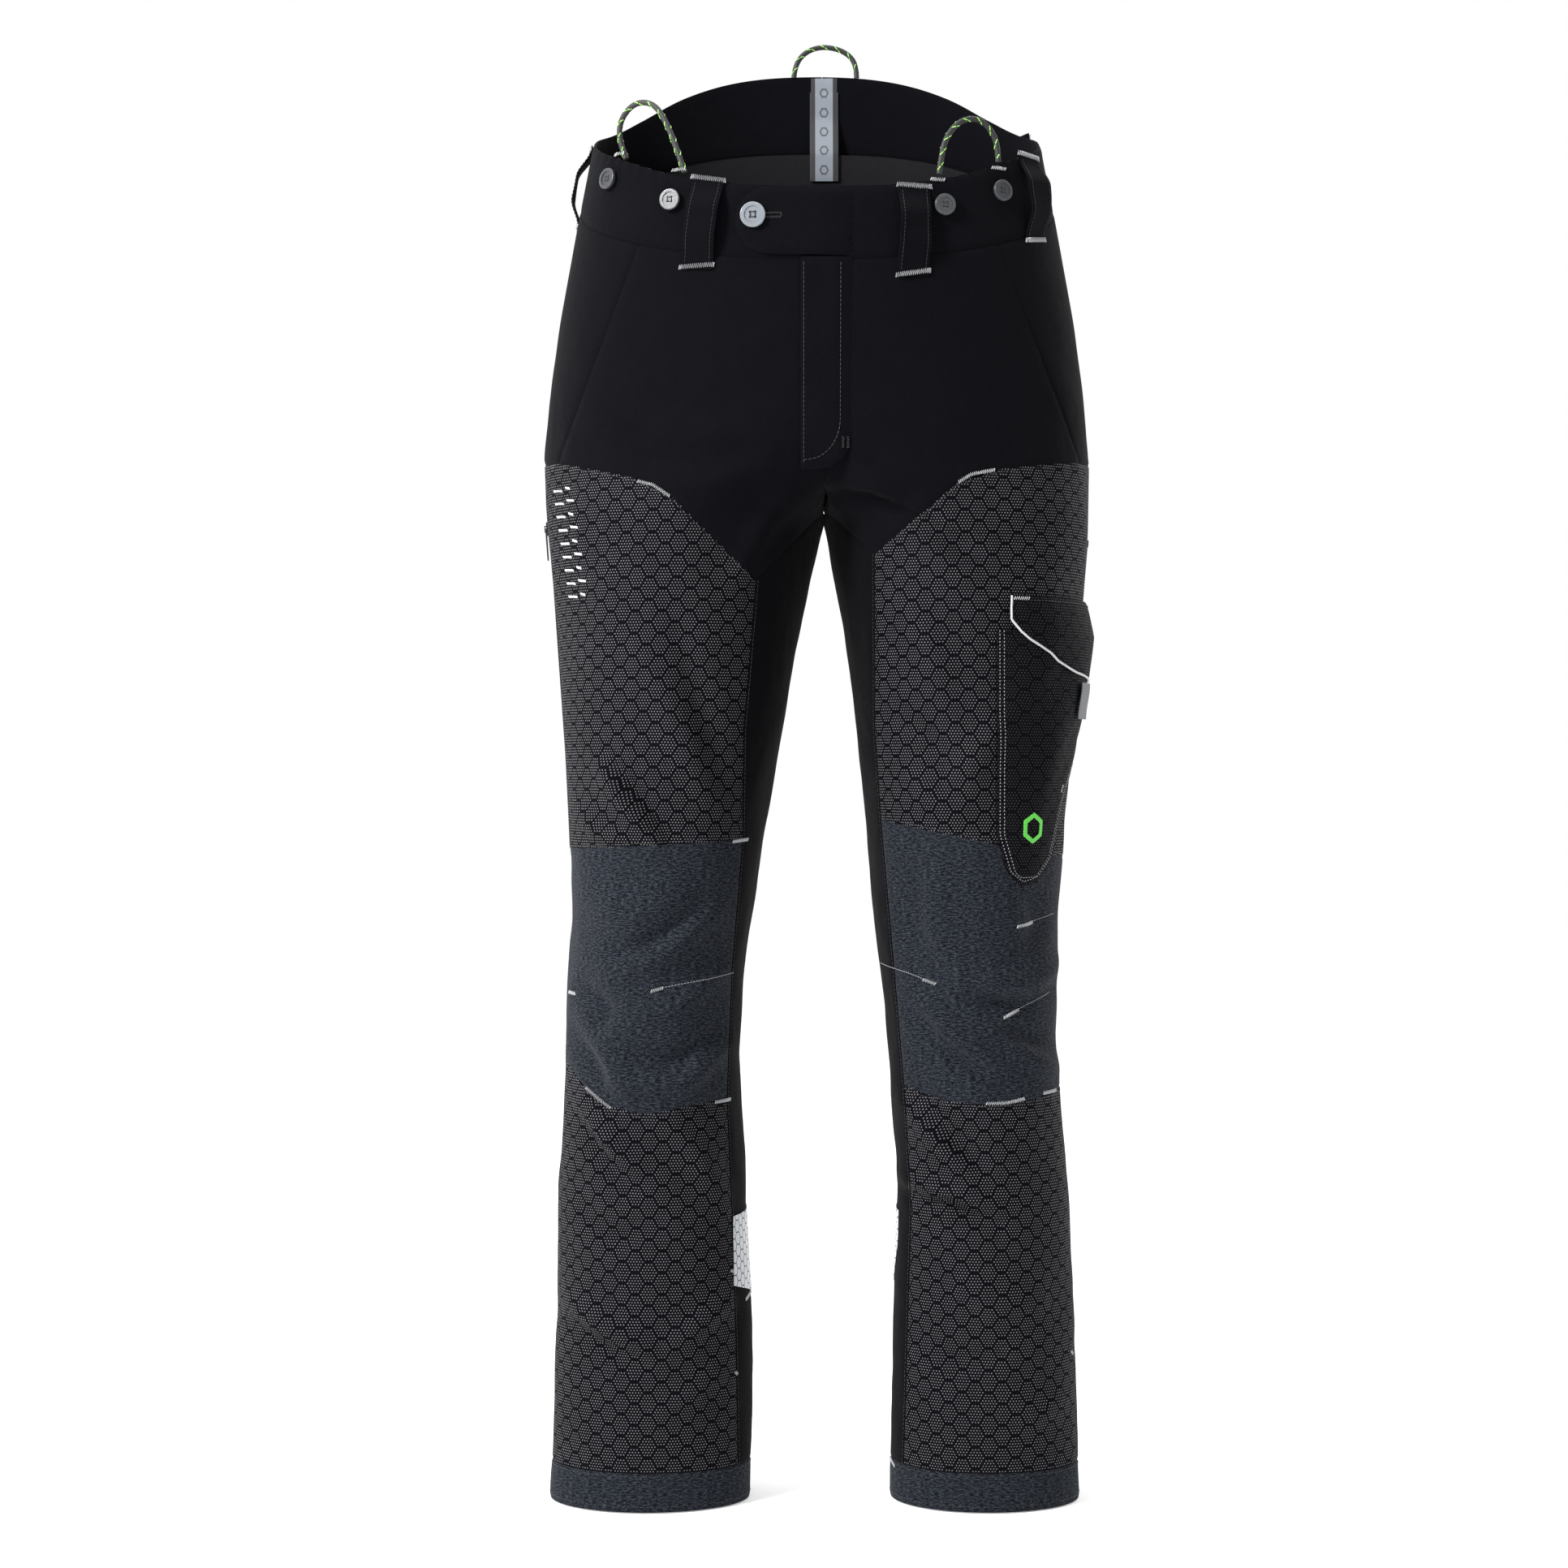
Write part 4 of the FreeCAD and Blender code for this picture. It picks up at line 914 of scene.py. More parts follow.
def middle_line(leg, low, high, way, x=CROTCH[0], step=0.006):
    """The trunk's middle seam as (turn, height), rising, on the front (-1) or the back (1)."""
    distance = SIDE[leg] * x + SEAM_GAP
    heights = np.linspace(low, high, max(2, int((high - low) / step)))
    return [(skins[leg].turn_at(distance, z, way), float(z)) for z in heights]


def fly_edge(leg, line):
    """The front's middle line, with the cloth set back beside the zip."""
    distance = SIDE[leg] * CROTCH[0] + FLY_SLOT
    return [(skins[leg].turn_at(distance, z, -1) if z > FLY_SLOT_LOW else turn, z) for turn, z in line]


def seams_of(leg):
    """Every seam line of one leg on its skin, as lists of (turn, height)."""
    skin = skins[leg]
    crotch = (SIDE[leg] * CROTCH[0] + SEAM_GAP, CROTCH[1])
    found = {
        "inner": skin.trace(INNER_SEAM[leg]),
        "thigh_top": skin.trace(THIGH_TOP[leg]),
        "knee_top": skin.trace(KNEE_TOP[leg]),
        "knee_low": skin.trace(KNEE_LOW[leg]),
        "groin": skin.trace([INNER_SEAM[leg][0], crotch]),
        "slash": skin.trace([THIGH_TOP[leg][1], SLASH_TOP]),
        "seat": skin.trace([crotch, (.060, .812), (.240, .852)], way=1),
    }
    found["seat"][-1] = (TAU, found["seat"][-1][1])
    for name in ("thigh_top", "knee_top", "knee_low"):
        found[name][0] = (0.0, found[name][0][1])
    return found


def tidy_outer(line, limit=0.02):
    """Drop the points that pile up at the outer side seam."""
    return line[:1] + [p for p in line[1:] if p[0] > limit]


def turn_behind(leg, depth, height):
    """The turn of the point a little way behind the outer side seam."""
    points = skins[leg].spot(TURNS[-40:-1], height)[:, 1]
    return float(np.interp(-depth, -points, TURNS[-40:-1]))


seams = {leg: seams_of(leg) for leg in SIDE}
outlines = {}
for leg in SIDE:
    line = seams[leg]
    for name in ("thigh_top", "knee_top", "knee_low"):
        line[name] = tidy_outer(line[name])
    line["seat"] = [p for p in line["seat"][:-1] if p[0] < TAU - 0.02] + line["seat"][-1:]
    inner = line["inner"]
    knee_in, low_in = line["knee_top"][-1][1], line["knee_low"][-1][1]
    hem = HEM_HEIGHT + SEAM_GAP
    slash = line["slash"]
    foot = slash[0]
    front_mid = fly_edge(leg, middle_line(leg, CROTCH[1], 0.99, -1))
    back_mid = middle_line(leg, CROTCH[1], 1.125, 1)
    seam_front = level_line(leg, "seam", 0, front_mid[-1][0] + 0.001)
    seam_back = level_line(leg, "seam", back_mid[-1][0], TAU)
    front_mid = [p for p in front_mid if p[1] < seam_front[-1][1] - 0.002]
    back_mid = [p for p in back_mid if p[1] < seam_back[0][1] - 0.002]
    vent = [(turn_behind(leg, VENT_EDGE, z), z) for z in np.linspace(VENT_HIGH, VENT_LOW, 40)]
    seam_turns, seam_heights = zip(*seam_front)
    slash = [p for p in slash if p[1] < np.interp(p[0], seam_turns, seam_heights) - 0.001]
    outlines[leg] = {
        "thigh_panel": [(0.0, line["knee_top"][0][1])] + line["thigh_top"]
        + stretch_of(inner, inner[0][1], knee_in)[1:] + line["knee_top"][::-1][1:],
        "knee_panel": [(0.0, line["knee_low"][0][1])] + line["knee_top"]
        + stretch_of(inner, knee_in, low_in)[1:] + line["knee_low"][::-1][1:],
        "shin_panel": [(0.0, hem)] + line["knee_low"] + stretch_of(inner, low_in, hem)[1:],
        "back_leg": stretch_of(inner, inner[0][1], hem)[::-1] + line["groin"][1:] + line["seat"]
        + [(TAU, VENT_HIGH + 0.004)] + vent + [(TAU, VENT_LOW - 0.004), (TAU, hem)],
        "front_panel": slash[::-1] + [p for p in line["thigh_top"] if p[0] > foot[0] + 0.01]
        + line["groin"][1:] + front_mid[1:]
        + [p for p in seam_front[::-1] if p[0] > slash[-1][0] + 0.005],
        "pocket_facing": [(0.0, line["thigh_top"][0][1])]
        + [(0.0, seam_front[0][1])] + [p for p in seam_front if 0.005 < p[0] < slash[-1][0] - 0.005]
        + slash[::-1] + [p for p in line["thigh_top"][::-1] if 0.005 < p[0] < foot[0] - 0.01],
        "seat": line["seat"] + seam_back[::-1] + back_mid[::-1][:-1],
        "hem_band": [(0.0, 0.0), (TAU, 0.0), (TAU, HEM_HEIGHT), (0.0, HEM_HEIGHT)],
    }

PANEL_LOOKS = {
    "thigh_panel": (guard_weave, "guard_weave"), "shin_panel": (guard_weave, "guard_weave"),
    "knee_panel": (melange_cloth, "melange_cloth"), "hem_band": (melange_cloth, "melange_cloth"),
    "back_leg": (stretch, "stretch_cloth"), "front_panel": (softshell, "softshell"),
    "pocket_facing": (softshell, "softshell"), "seat": (softshell, "softshell"),
}


# ---- main cloth panels --------------------------------------------------------------------

THICK = 0.0013


def declare_sheet(piece, rests_on=()):
    """The bounding size and area of the piece's cut, from its own cloth; nothing more is done with them."""
    size = np.array([v.vector[:] for v in piece.data.uv_layers["cloth"].uv])
    wide, long = (size.max(0) - size.min(0)).tolist()
    area = sum(p.area for p in piece.data.polygons) / 2
    area = min(max(area, 0.3001 * wide * long), wide * long)


panels = {}
for leg in SIDE:
    for part, (look, slot_name) in PANEL_LOOKS.items():
        node = part + "_" + leg
        panels[node] = cloth(part + "_cloth_" + leg, leg, outlines[leg][part], look, slot_name,
                             thick=THICK, stands_for=[node])

# ---- saw guards, linings and pocket bags inside ---------------------------------------------


def padded_edge(full, thin, width):
    """A pad's thickness: thin at its edge, full further in."""
    return lambda a, b, far: thin + (full - thin) * (1 - np.exp(-(far / width) ** 1.4))


def tube_outline(leg, low, margin):
    """The whole leg with its side of the trunk, opened along the inner leg, as (turn, height)."""
    front = middle_line(leg, CROTCH[1], 0.99, -1)
    back = middle_line(leg, CROTCH[1], 1.12, 1)
    top = level_line(leg, "seam", back[-1][0] - TAU, front[-1][0], -margin, 0.06)
    front = [p for p in front if p[1] < top[-1][1] - 0.002]
    back = [(t - TAU, z) for t, z in back if z < top[0][1] - 0.002]
    fork = CROTCH[1] - 0.004
    return ([(-math.pi, low), (math.pi, low), (math.pi, fork)] + front + top[::-1] + back[::-1]
            + [(-math.pi, fork)])


for leg in SIDE:
    top, inner = seams[leg]["thigh_top"], seams[leg]["inner"]
    guard = [(0.03, 0.048), (0.03, top[0][1] - 0.006)] + [(t, z - 0.006) for t, z in top[1:]]
    guard += [(t + 0.14, z - 0.002) for t, z in stretch_of(inner, top[-1][1] - 0.012, 0.048)]
    pad = cloth("saw_guard_pad_" + leg, leg, guard, guard_fibre, "saw_guard_fibre", out=-0.0030,
                cell=0.007, slim=padded_edge(0.0048, 0.0012, 0.006), roll=0.0004,
                stands_for=["saw_guard_" + leg])
    lining = cloth("lining_cloth_" + leg, leg, tube_outline(leg, 0.009, 0.003), lining_cloth,
                   "lining_cloth", out=-0.0096, cell=0.009, thick=0.0006, roll=0.0001,
                   stands_for=["lining_" + leg])
    declare_sheet(lining, [panels["front_panel_" + leg]])
    mouth = [(.104, 1.000), (.178, 1.000), (.209, .874), (.198, .856), (.122, .856), (.104, .872)]
    bag = cloth("pocket_bag_" + leg, leg, skins[leg].trace(mouth + mouth[:1])[:-1], pocket_cloth,
                "pocket_bag_cloth", out=-0.0022, cell=0.006, roll=0.0002,
                slim=padded_edge(0.0064, 0.0008, 0.010), stands_for=["hand_pocket_" + leg])
    declare_sheet(bag, [panels["front_panel_" + leg]])

# ---- waistband and back yoke ---------------------------------------------------------------

for leg in SIDE:
    meet = middle_line(leg, 0.985, 1.052, -1, BAND_MEETS, 0.01)
    low_line = level_line(leg, "seam", 0, meet[0][0], SEAM_GAP)
    high_line = level_line(leg, "edge", 0, meet[-1][0], -0.0002)
    meet = [p for p in meet if low_line[-1][1] + 0.002 < p[1] < high_line[-1][1] - 0.002]
    band = cloth("waistband_cloth_" + leg, leg, low_line + meet + high_line[::-1], softshell,
                 "softshell", thick=0.0034, roll=0.0011, roll_wide=0.0022, stands_for=["waistband_" + leg])
    back = middle_line(leg, 1.10, 1.20, 1, CROTCH[0], 0.01)
    low_line = level_line(leg, "seam", back[0][0], TAU, SEAM_GAP)
    high_line = level_line(leg, "edge", back[-1][0], TAU, -0.0002)
    back = [p for p in back if low_line[0][1] + 0.002 < p[1] < high_line[0][1] - 0.002]
    yoke = cloth("back_yoke_cloth_" + leg, leg, low_line + high_line[::-1] + back[::-1], softshell,
                 "softshell", thick=0.0034, roll=0.0011, roll_wide=0.0022, stands_for=["back_yoke"])
    panels["band_" + leg], panels["yoke_" + leg] = band, yoke
    for piece in (band, yoke):
        declare_sheet(piece)
for leg in SIDE:
    for part in PANEL_LOOKS:
        declare_sheet(panels[part + "_" + leg], ["lining_cloth_" + leg])


def on_front(points, leg=None, out=0.0):
    """Points given as (x, height) on the front of the trousers, laid on the skin."""
    made = []
    for x, z in points:
        side = leg or ("right" if x < CROTCH[0] else "left")
        turn = skins[side].turn_at(x * SIDE[side], z)
        made.append(skins[side].spot(turn, z, out))
    return np.array(made)


def front_way(points, leg=None):
    """Which way the skin faces at points given as (x, height) on the front."""
    made = []
    for x, z in points:
        side = leg or ("right" if x < CROTCH[0] else "left")
        made.append(skins[side].facing(skins[side].turn_at(x * SIDE[side], z), z))
    return np.array(made)


def threads(name, paths, radius, material, body=ROOT, sides=6):
    points, faces = tube_mesh(paths, radius, sides)
    return new_piece(name, points, faces, material, body)


# ---- waist tab, with its button and buttonhole -----------------------------------------------

TAB_OUT = 0.0031
arc = [(-0.039 + 0.0265 * math.cos(a), 1.0275 + 0.0265 * math.sin(a))
       for a in np.linspace(math.pi / 2, 1.5 * math.pi, 15)]
tab_line = [(0.0265, 1.0535)] + arc + [(0.0265, 0.9995)]
tab_turns = [(skins["right"].turn_at(-x, z), z) for x, z in resample(tab_line, 0.006)]


def tab_lift(a, b, far):
    """The tab is joined to the band at its far end, so it dies into it there."""
    share = np.clip((skins["right"].spot(a / PLAN, b)[:, 0] - 0.006) / 0.018, 0, 1)
    return (0.0010 - TAB_OUT) * share ** 2 * (3 - 2 * share)


tab = cloth("waist_tab_cloth", "right", tab_turns[::-1], softshell, "softshell", out=TAB_OUT, cell=0.004,
            thick=0.0024, roll=0.0012, roll_wide=0.0022, lift=tab_lift, stands_for=["waist_tab"])
declare_sheet(tab, [panels["band_right"]])
hole = [(x, 1.031 + 0.0016 * s) for s in (1, -1) for x in (np.linspace(-0.044, -0.029, 16)[::s])]
rim = on_front(hole + hole[:1], "right", TAB_OUT + 0.0003)
threads("waist_buttonhole", bar_tack(rim, front_way(hole + hole[:1], "right"), 0.0016, 0.0007),
        0.0003, dark_thread)


def local_frame(node):
    """A node's middle, and its long, wide and thin directions with their half lengths."""
    points = np.array([v.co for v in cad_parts[node].data.vertices], float)
    spots = np.unique(points.round(6), axis=0)
    middle = (spots.min(0) + spots.max(0)) / 2
    _, _, axes = np.linalg.svd(spots - spots.mean(0), full_matrices=False)
    long, wide = axes[0], axes[1]
    if long[2] < 0:
        long = -long
    thin = np.cross(wide, long)
    if np.dot(thin, middle - np.array((0, 0, middle[2]))) < 0:
        thin, wide = -thin, -wide
    reach = (spots - middle) @ np.stack([long, wide, thin], 1)
    middle = middle + np.stack([long, wide, thin], 1) @ ((reach.min(0) + reach.max(0)) / 2)
    return middle, long, wide, thin, (reach.max(0) - reach.min(0)) / 2


# ---- buttons: the frame's own, with better material and their sewing thread -------------------

button_runs = []
BUTTONS = ["waist_button"] + [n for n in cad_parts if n.startswith("brace_button")]
for node in BUTTONS:
    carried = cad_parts[node]
    carried.data.materials.clear()
    carried.data.materials.append(pearl if node == "waist_button" else smoke)
    points = np.array([v.co for v in carried.data.vertices], float)
    rim_points = points[np.abs(points - points.mean(0)).sum(1) > 0.004]
    _, _, axes = np.linalg.svd(rim_points - rim_points.mean(0), full_matrices=False)
    facing = axes[2] * math.copysign(1, np.dot(axes[2], points.mean(0) * (1, 1, 0)))
    face = points[(points @ facing) > (points @ facing).max() - 0.0006]
    middle = (face.min(0) + face.max(0)) / 2
    right = np.cross(facing, (0, 0, 1.0))
    right /= np.linalg.norm(right)
    up = np.cross(right, facing)
    gap = 0.0020 if node == "waist_button" else 0.0017
    for a, b in (((-1, -1), (1, -1)), ((-1, 1), (1, 1)), ((-1, -1), (-1, 1)), ((1, -1), (1, 1))):
        start, end = (middle + right * gap * p[0] + up * gap * p[1] - facing * 0.0016 for p in (a, b))
        button_runs.append([start, start + facing * 0.0012, (start + end) / 2 + facing * 0.0015,
                            end + facing * 0.0012, end])
threads("button_threads", button_runs, 0.00042, dark_thread)

# ---- belt loops -----------------------------------------------------------------------------


def strap_mesh(place, across, lengthways, half_wide, half_thick):
    """A flat strap: place(s) gives its middle, across(s) the ways its width and its face point."""
    points, faces, uv = [], [], []
    ring = [(x, 1 - max(0, abs(x) - 0.9) * 6) for x in np.linspace(-1, 1, 9)]
    section = ring + [(x, -e) for x, e in ring[::-1]]
    for k, s in enumerate(lengthways):
        here, (side, face) = place(s), across(s)
        end = min(1.0, 0.35 + min(k, len(lengthways) - 1 - k) * 0.35)
        for x, e in section:
            points.append(here + side * half_wide * x + face * half_thick * e * end)
            uv.append((x * half_wide, s))
    count = len(section)
    for k in range(len(lengthways) - 1):
        for j in range(count):
            a, b = k * count + j, k * count + (j + 1) % count
            faces.append((a, b, b + count, a + count))
    faces.append(tuple(range(count))[::-1])
    faces.append(tuple(range((len(lengthways) - 1) * count, len(lengthways) * count)))
    return points, faces, uv


LOOP_SHAPES = {     # how far each loop leans and twists
    "belt_loop_right_front": (0.004, 0.05), "belt_loop_left_front": (0.005, -0.30),
    "belt_loop_left_side": (0.003, 0.18), "belt_loop_right_side": (-0.003, -0.12),
    "belt_loop_left_back": (0.002, 0.1), "belt_loop_right_back": (-0.002, -0.1),
}
LOOP_HALF, LOOP_TACK = 0.0127, 0.0142       # half widths of the strap and of its bar tacks
loop_tacks, loop_stitches = [], []
for node, (lean, twist) in LOOP_SHAPES.items():
    middle, long, wide, thin, half = local_frame(node)
    if wide @ (1, 0, 0) < 0 and abs(wide[0]) > 0.3:
        wide = -wide
    base = middle - thin * half[2]
    proud = 2 * half[2] - 0.0022
    long_half = half[0] - 0.001

    def strap_place(s):
        t = abs(s) / long_half
        near = np.clip((t - 0.25) / 0.62, 0, 1)
        bow = 1 - near ** 2 * (3 - 2 * near)
        return base + long * s + thin * (0.0012 + proud * bow) + wide * lean * (s / long_half) * 0.5

    def strap_way(s):
        t = abs(s) / long_half
        angle = twist * (1 - t) * math.sin(math.pi * s / long_half * 0.5 + 0.6)
        side = wide * math.cos(angle) + thin * math.sin(angle)
        ahead = strap_place(s + 0.0005) - strap_place(s - 0.0005)
        face = np.cross(side, ahead)
        face *= math.copysign(1, face @ thin) / np.linalg.norm(face)
        return side, face

    lengths = np.linspace(-long_half, long_half, 46)
    points, faces, uv = strap_mesh(strap_place, strap_way, lengths, LOOP_HALF, 0.0009)
    strap = new_piece(node + "_strap", points, faces, softshell, uvs=uv)
    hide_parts(node)
    for place, tilt in ((long_half - 0.0022, -0.0012), (-long_half + 0.0022, 0.0016)):
        spots, ways = [], []
        for x in np.linspace(-LOOP_TACK, LOOP_TACK, 12):
            side, face = strap_way(place)
            drop = max(0.0, abs(x) - LOOP_HALF) * 0.9
            spots.append(strap_place(place) + side * x + face * (0.0013 - drop) + long * tilt * x / LOOP_TACK)
            ways.append(face)
        loop_tacks += bar_tack(np.array(spots), np.array(ways), 0.0034, 0.0008)
    for x in (-0.0098, 0.0098):
        run = [strap_place(s) + strap_way(s)[0] * x + strap_way(s)[1] * 0.00105 for s in lengths[3:-3]]
        loop_stitches += stitch_paths(np.array(run), 0.0022, 0.0010)
threads("belt_loop_tacks", loop_tacks, 0.00042, white_thread)
threads("belt_loop_stitches", loop_stitches, 0.00022, dark_thread, sides=4)

# ---- fly: placket, its stitching, underlap and zip ----------------------------------------------

FLY_FACE = -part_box("fly_placket")[0].y
FLY_EDGES = (-0.014, 0.0268)                # the placket's free edge and its seam
FLY_FOOT, FLY_TOP, FLY_ROUND = 0.8322, 0.9985, 0.028
TAPER = (0.012, 0.0262)                     # where it dies into the front


def fly_depth(x, z):
    """How far in front of the zip's plane the placket lies: it dies into the left front."""
    away = np.clip((np.asarray(x) - TAPER[0]) / (TAPER[1] - TAPER[0]), 0, 1)
    low = np.clip((FLY_FOOT + 0.020 - np.asarray(z)) / 0.020, 0, 1)
    sunk = np.maximum(away ** 2 * (3 - 2 * away), low ** 2 * (3 - 2 * low))
    wave = 0.0005 * np.sin(np.asarray(z) * 95) * np.sin(np.asarray(x) * 120 + 1)
    return FLY_FACE - 0.0001 - sunk * 0.0026 + wave * (1 - sunk)


def fly_place(a, b, out):
    return np.stack([a, -(fly_depth(a, b) + out), b], 1)


round_foot = [(FLY_EDGES[1] - FLY_ROUND * (1 - math.sin(t)), FLY_FOOT + FLY_ROUND * (1 - math.cos(t)))
              for t in np.linspace(0, math.pi / 2, 9)]
fly_line = [(FLY_EDGES[0], FLY_TOP), (FLY_EDGES[0], FLY_FOOT)] + round_foot + [(FLY_EDGES[1], FLY_TOP)]
fly_cloth = sew("fly_placket_cloth", fly_line, fly_place, softshell, "softshell", cell=0.004, thick=0.0014,
                body=None, stands_for=["fly_placket"])


def fly_run(points, name):
    """Stitches on the placket along a line of (x, height)."""
    line = along(points, 0.003)
    runs = stitch_paths(fly_place(line[:, 0], line[:, 1], 0.0002))
    return threads(name, runs, 0.00026, grey_thread, body=None, sides=5)


j_curve = [(0.0172 - 0.026 * (1 - math.cos(t)), 0.8715 - 0.032 * math.sin(t))
           for t in np.linspace(0, math.pi / 2, 12)]
j_line = [(0.0176, 0.994), (0.0172, 0.893)] + j_curve + [(-0.0125, 0.8388)]
fly_pieces = [fly_cloth, fly_run(j_line, "fly_j_stitches"),
              fly_run([(-0.0115, 0.994), (-0.0115, 0.836)], "fly_edge_stitches")]
fly_tacks = []
for x in (0.0192, 0.0232):
    line = along([(x, 0.8575), (x, 0.8485)], 0.001)
    forward = np.tile((0, -1.0, 0), (len(line), 1))
    fly_tacks += bar_tack(fly_place(line[:, 0], line[:, 1], 0.0004), forward, 0.0018)
fly_pieces.append(threads("fly_tacks", fly_tacks, 0.0003, dark_thread, body=None))
for piece in fly_pieces:
    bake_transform(piece)
declare_sheet(fly_cloth, [panels["front_panel_left"]])

low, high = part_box("fly_underlap")
underlap = sew("fly_underlap_cloth", [(low.x, low.z), (high.x, low.z), (high.x, high.z), (low.x, high.z)],
               lambda a, b, out: np.stack([a, low.y - out, b], 1), lining_cloth, "softshell",
               thick=high.y - low.y, roll=0.0004, stands_for=["fly_underlap"])
declare_sheet(underlap, [panels["front_panel_left"]])


coils, zip_seams = [], []


def make_zip(node, half_tape):
    """A tape with a folded edge and a moulded coil down its middle, where the frame's zip is."""
    middle, long, wide, thin, (length, _, depth) = local_frame(node)
    face = middle - thin * depth + thin * 0.0006
    outline = [(-half_tape, -length), (half_tape, -length), (half_tape, length), (-half_tape, length)]
    turned = np.cross(wide, long) @ thin < 0
    tape = sew(node + "_tape", outline,
               lambda a, b, out: face + np.outer(a, wide) + np.outer(b, long) + np.outer(out, thin),
               tape_cloth, "zip_tape", cell=0.004, thick=0.0006, roll=0.00015, mirrored=not turned,
               stands_for=[node])
    def lengthways(shift, out, reach):
        return np.array([face + wide * shift + thin * out + long * s for s in (-reach, reach)])

    for sign in (-1, 1):
        path = lengthways(sign * 0.0013, 0.0007, length - 0.003)
        coils.extend(bar_tack(path, np.array([thin, thin]), 0.0024, 0.0006))
        for shift in (0.0042, half_tape - 0.0012):
            zip_seams.extend(stitch_paths(lengthways(sign * shift, 0.0001, length), 0.0026, 0.0012))
    declare_sheet(tape)


make_zip("fly_zip", 0.0145)
for leg in SIDE:
    make_zip("vent_zip_" + leg, 0.0076)
threads("zip_coils", coils, 0.00042, coil_plastic)
threads("zip_stitches", zip_seams, 0.0002, dark_thread, sides=4)
for node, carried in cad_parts.items():
    if "slider" in node or "puller" in node:
        carried.data.materials.clear()
        carried.data.materials.append(black_metal if "slider" in node else black_pull)

# ---- cords ----------------------------------------------------------------------------------

CORDS = {       # points along each cord, and its length
    "cord_loop_right": ([(-.1530, -.0719, 1.0846), (-.1590, -.0690, 1.0995), (-.1580, -.0695, 1.1165),
                         (-.1460, -.0755, 1.1290), (-.1300, -.0845, 1.1260), (-.1195, -.0910, 1.1080),
                         (-.1115, -.0960, 1.0865), (-.1055, -.0993, 1.0680)], 0.132),
    "cord_loop_left": ([(.0955, -.1020, 1.0662), (.0970, -.1013, 1.0800), (.1010, -.0995, 1.0960),
                        (.1125, -.0944, 1.1105), (.1280, -.0874, 1.1135), (.1395, -.0823, 1.1030),
                        (.1432, -.0806, 1.0905), (.1435, -.0805, 1.0802)], 0.105),
    "cord_loop_back": ([(-.0185, .1183, 1.1949), (-.0175, .1186, 1.2060), (-.0090, .1190, 1.2175),
                        (.0050, .1193, 1.2225), (.0210, .1190, 1.2200), (.0315, .1188, 1.2130),
                        (.0355, .1183, 1.2035), (.0357, .1180, 1.1949)], 0.087),
}


def flecks_on(spots):
    """Pairs of bright slanted strands lying on a cord, along its NURBS curve of order 3."""
    spots = np.array(spots)
    count = len(spots)
    knots = np.concatenate([[0, 0], np.arange(count - 1), [count - 2, count - 2]]).astype(float)
    line = []
    for t in np.linspace(0, count - 2 - 1e-6, 240):
        base = [float(knots[i] <= t < knots[i + 1]) for i in range(len(knots) - 1)]
        for grade in (1, 2):
            for i in range(len(base) - grade):
                left = knots[i + grade] - knots[i]
                right = knots[i + grade + 1] - knots[i + 1]
                base[i] = (((t - knots[i]) / left * base[i] if left else 0)
                           + ((knots[i + grade + 1] - t) / right * base[i + 1] if right else 0))
        line.append(np.array(base[:count]) @ spots)
    line = along(line, 0.0005)
    normal = np.cross(line[-1] - line[0], line[len(line) // 2] - line[0])
    normal /= np.linalg.norm(normal)
    made = []
    for k, first in enumerate(range(5, len(line) - 10, 8)):
        if k % 3 == 2:
            continue
        for turn in (0.3, 0.3 + math.pi):
            run = []
            for j in range(7):
                here = min(first + j, len(line) - 2)
                ahead = line[here + 1] - line[here]
                ahead /= np.linalg.norm(ahead)
                side = np.cross(normal, ahead)
                angle = turn + k * 1.1 + j * 0.16
                run.append(line[here] + (side * math.cos(angle) + normal * math.sin(angle)) * 0.00212)
            made.append(run)
    return made


for node, (spots, length) in CORDS.items():
    curve = bpy.data.curves.new(node + "_braid", "CURVE")
    curve.dimensions = "3D"
    spline = curve.splines.new("NURBS")
    spline.points.add(len(spots) - 1)
    for control, spot in zip(spline.points, spots):
        control.co = (*spot, 1.0)
    spline.order_u = 3
    spline.use_endpoint_u = True
    spline.resolution_u = 16
    curve.bevel_depth = 0.00225
    curve.bevel_resolution = 5
    curve.use_fill_caps = True
    curve.materials.append(lime_braid)
    strand = bpy.data.objects.new(node + "_braid", curve)
    bpy.context.scene.collection.objects.link(strand)
    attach(strand, ROOT)
    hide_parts(node)
    flecks = threads(node + "_flecks", flecks_on(spots), 0.00042, lime_thread, sides=5)

# ---- reflective patches round the calves, and the tape inside the back ------------------------

PATCH_BACK = (      # the patch's lower and upper edge on the back, as (distance from the middle, height)
    ((.080, .170), (.110, .180), (.155, .204), (.190, .226)),
    ((.190, .258), (.155, .252), (.110, .248), (.080, .241)),
)
for leg in SIDE:
    inner_start = [(2.93, .236), (2.96, .206)]
    if leg == "right":
        inner_start = [(skins[leg].turn_at(d, z, -1), z) for d, z in ((.0685, .234), (.068, .178))]
    behind, above = ([(skins[leg].turn_at(d, z, 1), z) for d, z in corners] for corners in PATCH_BACK)
    outer = [(TAU - 0.10, .236), (TAU - 0.10, .259)]
    line = inner_start + [(math.pi + 0.02, .168 if leg == "right" else .176)] + behind + outer + above
    patch = cloth("calf_patch_cloth_" + leg, leg, line, reflective_print, "reflective_print", out=0.0011,
                  cell=0.006, thick=0.0008, roll=0.0003, stands_for=["calf_patch_" + leg])
    declare_sheet(patch, [panels["back_leg_" + leg]])
    threads("calf_patch_stitches_" + leg, stitch_paths(on_skin(leg, above, 0.0013), 0.0024, 0.0010),
            0.00024, dark_thread)

